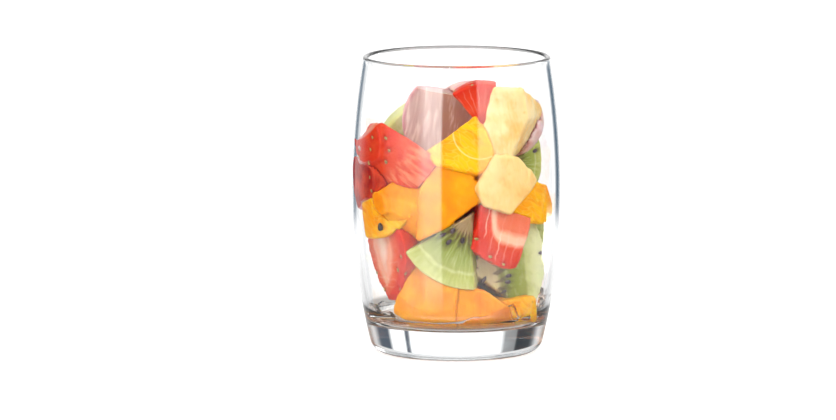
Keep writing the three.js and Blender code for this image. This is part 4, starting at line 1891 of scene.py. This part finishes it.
@dataclass
class Studio:
    """A pale sweep with soft light: white behind the object, screens in front, flags at the sides."""

    softboxes: tuple[Softbox, ...] = (
        Softbox("softbox_front_high", 0, 40, 1.0, 1.2, 0.5, 1.2),
        Softbox("softbox_above", -20, 68, 0.9, 0.8, 0.8, 0.8),
        Softbox("softbox_right", 62, 32, 1.0, 0.7, 0.5, 3.0),
        Softbox("softbox_left", -62, 32, 1.0, 0.7, 0.5, 1.9),
        Softbox("sparkle", -10, 40, 1.0, 0.04, 0.04, 120.0),
    )
    base: float = 0.06  # the light from where no panel is
    panels: tuple[Panel, ...] = (  # each covers those before it
        # white all round the back
        Panel(1.3, both_sides((108, 0), (120, 0.2), (132, 0.7), (145, 1))),
        # the ceiling, and the table as the glass shows it
        Panel(0.9, rises=((14, 0), (19, 1))),
        Panel(1.0, rises=((-19, 1), (-14, 0))),
        Panel(1.1, both_sides((65, 0), (80, 1)), ((-14.5, 1), (-10.5, 0))),
        Panel(2.4, rises=((-48, 1), (-38, 0))),
        Panel(0.5, both_sides((60, 0), (75, 1)), ((-16, 1), (-9, 0))),
        # pale walls at both sides, and a darker one over the middle of each
        Panel(0.9, both_sides((45, 0), (58, 1), (128, 1), (135, 0)), ((1, 0), (3, 1))),
        Panel((0.1, 0.11, 0.12), both_sides((70, 0), (80, 1), (100, 1), (115, 0)), ((-12, 0), (-8, 1))),
        # dark blue flags that draw the sides of the glass
        Panel(
            (0.08, 0.14, 0.2),
            ((-164, 0), (-160.5, 1), (-152, 1), (-149, 0.4), (-141, 0.3), (-137, 0), (141, 0), (146, 1),
             (157, 1), (162, 0)),
            ((-9.6, 0), (-8.3, 1), (-2, 1), (0, 0)),
        ),
        # flags that draw the thick foot, at its right and its left
        Panel(
            (0.02, 0.03, 0.04),
            ((-158.5, 0), (-156.5, 0.74), (-149, 0.78), (-147.5, 1), (-134, 1), (-130, 0.85), (-122, 0)),
            ((0, 0), (2, 1), (15, 1), (17, 0)),
        ),
        Panel(
            (0.07, 0.1, 0.14),
            ((120, 0), (129, 1), (140.5, 1), (143.5, 0), (153.6, 0), (154.6, 1), (156, 1), (157, 0)),
            ((0, 0), (2, 1), (15, 1), (17, 0)),
        ),
        # a strip low at the right
        Panel(14, ((117, 0), (119, 1), (132, 1), (134, 0)), ((-14, 0), (-13, 1), (-10, 1), (-9, 0))),
    )
    screens: tuple[Panel, ...] = (
        Panel(
            5.2,
            ((-90, 0), (-85, 0.1), (-59, 0.3), (-46, 0.36), (-36, 1), (-17.6, 1), (-16.6, 0)),
            ((-28, 0), (-22, 0.33), (-10, 0.5), (-2, 0.63), (3, 1), (12, 1), (30, 0)),
        ),
        Panel(
            2.1,
            ((23.6, 0), (24.6, 1), (40, 1), (54, 0.5), (68, 0)),
            ((-28, 0), (-20, 0.15), (-12, 0.35), (-6, 0.55), (3, 1), (12, 1), (30, 0)),
        ),
    )
    screen_distance: float = 4.0  # metres
    table_size: float = 6.0  # metres
    table_drop: float = 0.0001  # metres under the foot, so that the two don't flicker
    aim: Vec3 = (-13.75, 0, 50.55)
    camera_distance: float = 2.5  # metres
    view_width: float = 0.2985  # metres across the view at the object
    sensor_width: float = 36.0

    def angles(self, shader: Shader, place: Socket) -> tuple[Socket, Socket]:
        """A direction's turn and rise.

        Args:
            shader: The world's or the screens' shader.
            place: The direction, or a place in that direction.

        Returns:
            The turn from the front towards +X, and the rise, both as shares of their whole range.
        """
        add = shader.add
        place = add("VectorMath.NORMALIZE", place)
        x, y, z = (add("SeparateXYZ", place, out=axis) for axis in "XYZ")
        front = add("Math.MULTIPLY", y, -1.0)
        turn = add("Math.ARCTAN2", x, front)
        rise = add("Math.ARCSINE", z)
        turn = add("Math.MULTIPLY_ADD", turn, 1 / math.tau, 0.5)
        return turn, add("Math.MULTIPLY_ADD", rise, 1 / math.pi, 0.5)

    def screen(self) -> None:
        """The front screens: a patch of a wide dome that only smooth surfaces show."""
        shader = Shader(bpy.data.materials.new("lit_screens"))
        add = shader.add
        turn, rise = self.angles(shader, add("TexCoord", out="Object"))
        surface = add("BsdfTransparent", "FFFFFF")
        for panel in self.screens:
            share = panel.share(shader, turn, rise)
            lit = add("MixRGB", share, "000000", panel.colour())
            lit = add("Emission", lit, Strength=1.0)
            surface = add("AddShader", surface, lit)
        add("OutputMaterial", Surface=surface)
        turns, rises = np.arange(-92, 71, 3.0), np.arange(-30, 34, 3.0)
        points = [look_direction(a, e) * self.screen_distance for e in rises for a in turns]
        n = len(turns)
        corners = (k for k in range(len(points) - n) if k % n < n - 1)
        faces = [(k, k + n, k + n + 1, k + 1) for k in corners]
        made = mesh_object("front_screens", np.array(points), faces, shader.owner)
        made.visible_camera = made.visible_diffuse = made.visible_shadow = False
        made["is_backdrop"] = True

    def world(self) -> None:
        """The surroundings that light the fruit and show in the glass; plain white where seen."""
        made = bpy.data.worlds.new("studio")
        bpy.context.scene.world = made
        shader = Shader(made)
        add = shader.add
        turn, rise = self.angles(shader, add("TexCoord", out="Generated"))
        colour: Colour | Socket = grey(self.base)
        for panel in self.panels:
            share = panel.share(shader, turn, rise)
            colour = add("MixRGB", share, colour, panel.colour())
        around = add("Background", colour, Strength=1.0)
        seen = add("Background", "FFFFFF", Strength=1.0)
        camera = add("LightPath", out="Is Camera Ray")
        mixed = add("MixShader", camera, around, seen)
        add("OutputWorld", Surface=mixed)

    def floor(self) -> None:
        """A plain pale table that the tumbler stands on."""
        shader = Shader(bpy.data.materials.new("pale_table"))
        add = shader.add
        matt = add("BsdfDiffuse", grey(0.85))
        glow = add("Emission", "FFFFFF", Strength=0.5)
        add("OutputMaterial", Surface=add("AddShader", matt, glow))
        half, z = self.table_size / 2, -self.table_drop
        corners = [[-half, -half, z], [half, -half, z], [half, half, z], [-half, half, z]]
        table = mesh_object("table", np.array(corners), [(0, 1, 2, 3)], shader.owner)
        table.visible_glossy = False
        table.visible_transmission = False
        table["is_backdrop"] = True

    def camera(self) -> None:
        """A long lens a little above the table."""
        data = bpy.data.cameras.new("camera")
        data.sensor_width = self.sensor_width
        data.lens = self.sensor_width * self.camera_distance / self.view_width
        data.clip_end = 20.0
        eye = add_object("camera", data)
        back = look_direction(0, CAMERA_ELEVATION)
        eye.location = Vector(self.aim) * MM + back * self.camera_distance
        face_along(eye, -back)
        bpy.context.scene.camera = eye

    def build(self) -> None:
        """Sets up the surroundings, the table, the screens, the lamps and the camera."""
        bpy.context.scene.view_settings.view_transform = "Standard"
        self.world()
        self.floor()
        self.screen()
        for softbox in self.softboxes:
            softbox.build()
        self.camera()


def write_sizes() -> None:
    """Works out the solids' box and the dressed part's box, and keeps neither."""
    boxes = {"cad": cad_box, "visual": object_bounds()}
    {name: [list(corner) for corner in box] for name, box in boxes.items()}


def main() -> None:
    """Builds the part and its studio."""
    logging.basicConfig(level=logging.INFO, format="%(name)s: %(message)s")
    Studio().build()
    tumbler = Tumbler()
    heap = Heap(tumbler)
    for clear in (tumbler, JuicePool(tumbler=tumbler)):
        body = clear.build()
        log.info("%s: %d faces", body.name, len(body.data.polygons))
    for fruit in fruit_pieces():
        piece = fruit.build(heap)
        log.info("%s: %d faces", piece.name, len(piece.data.polygons))
    write_sizes()


if __name__ == "__main__":
    main()
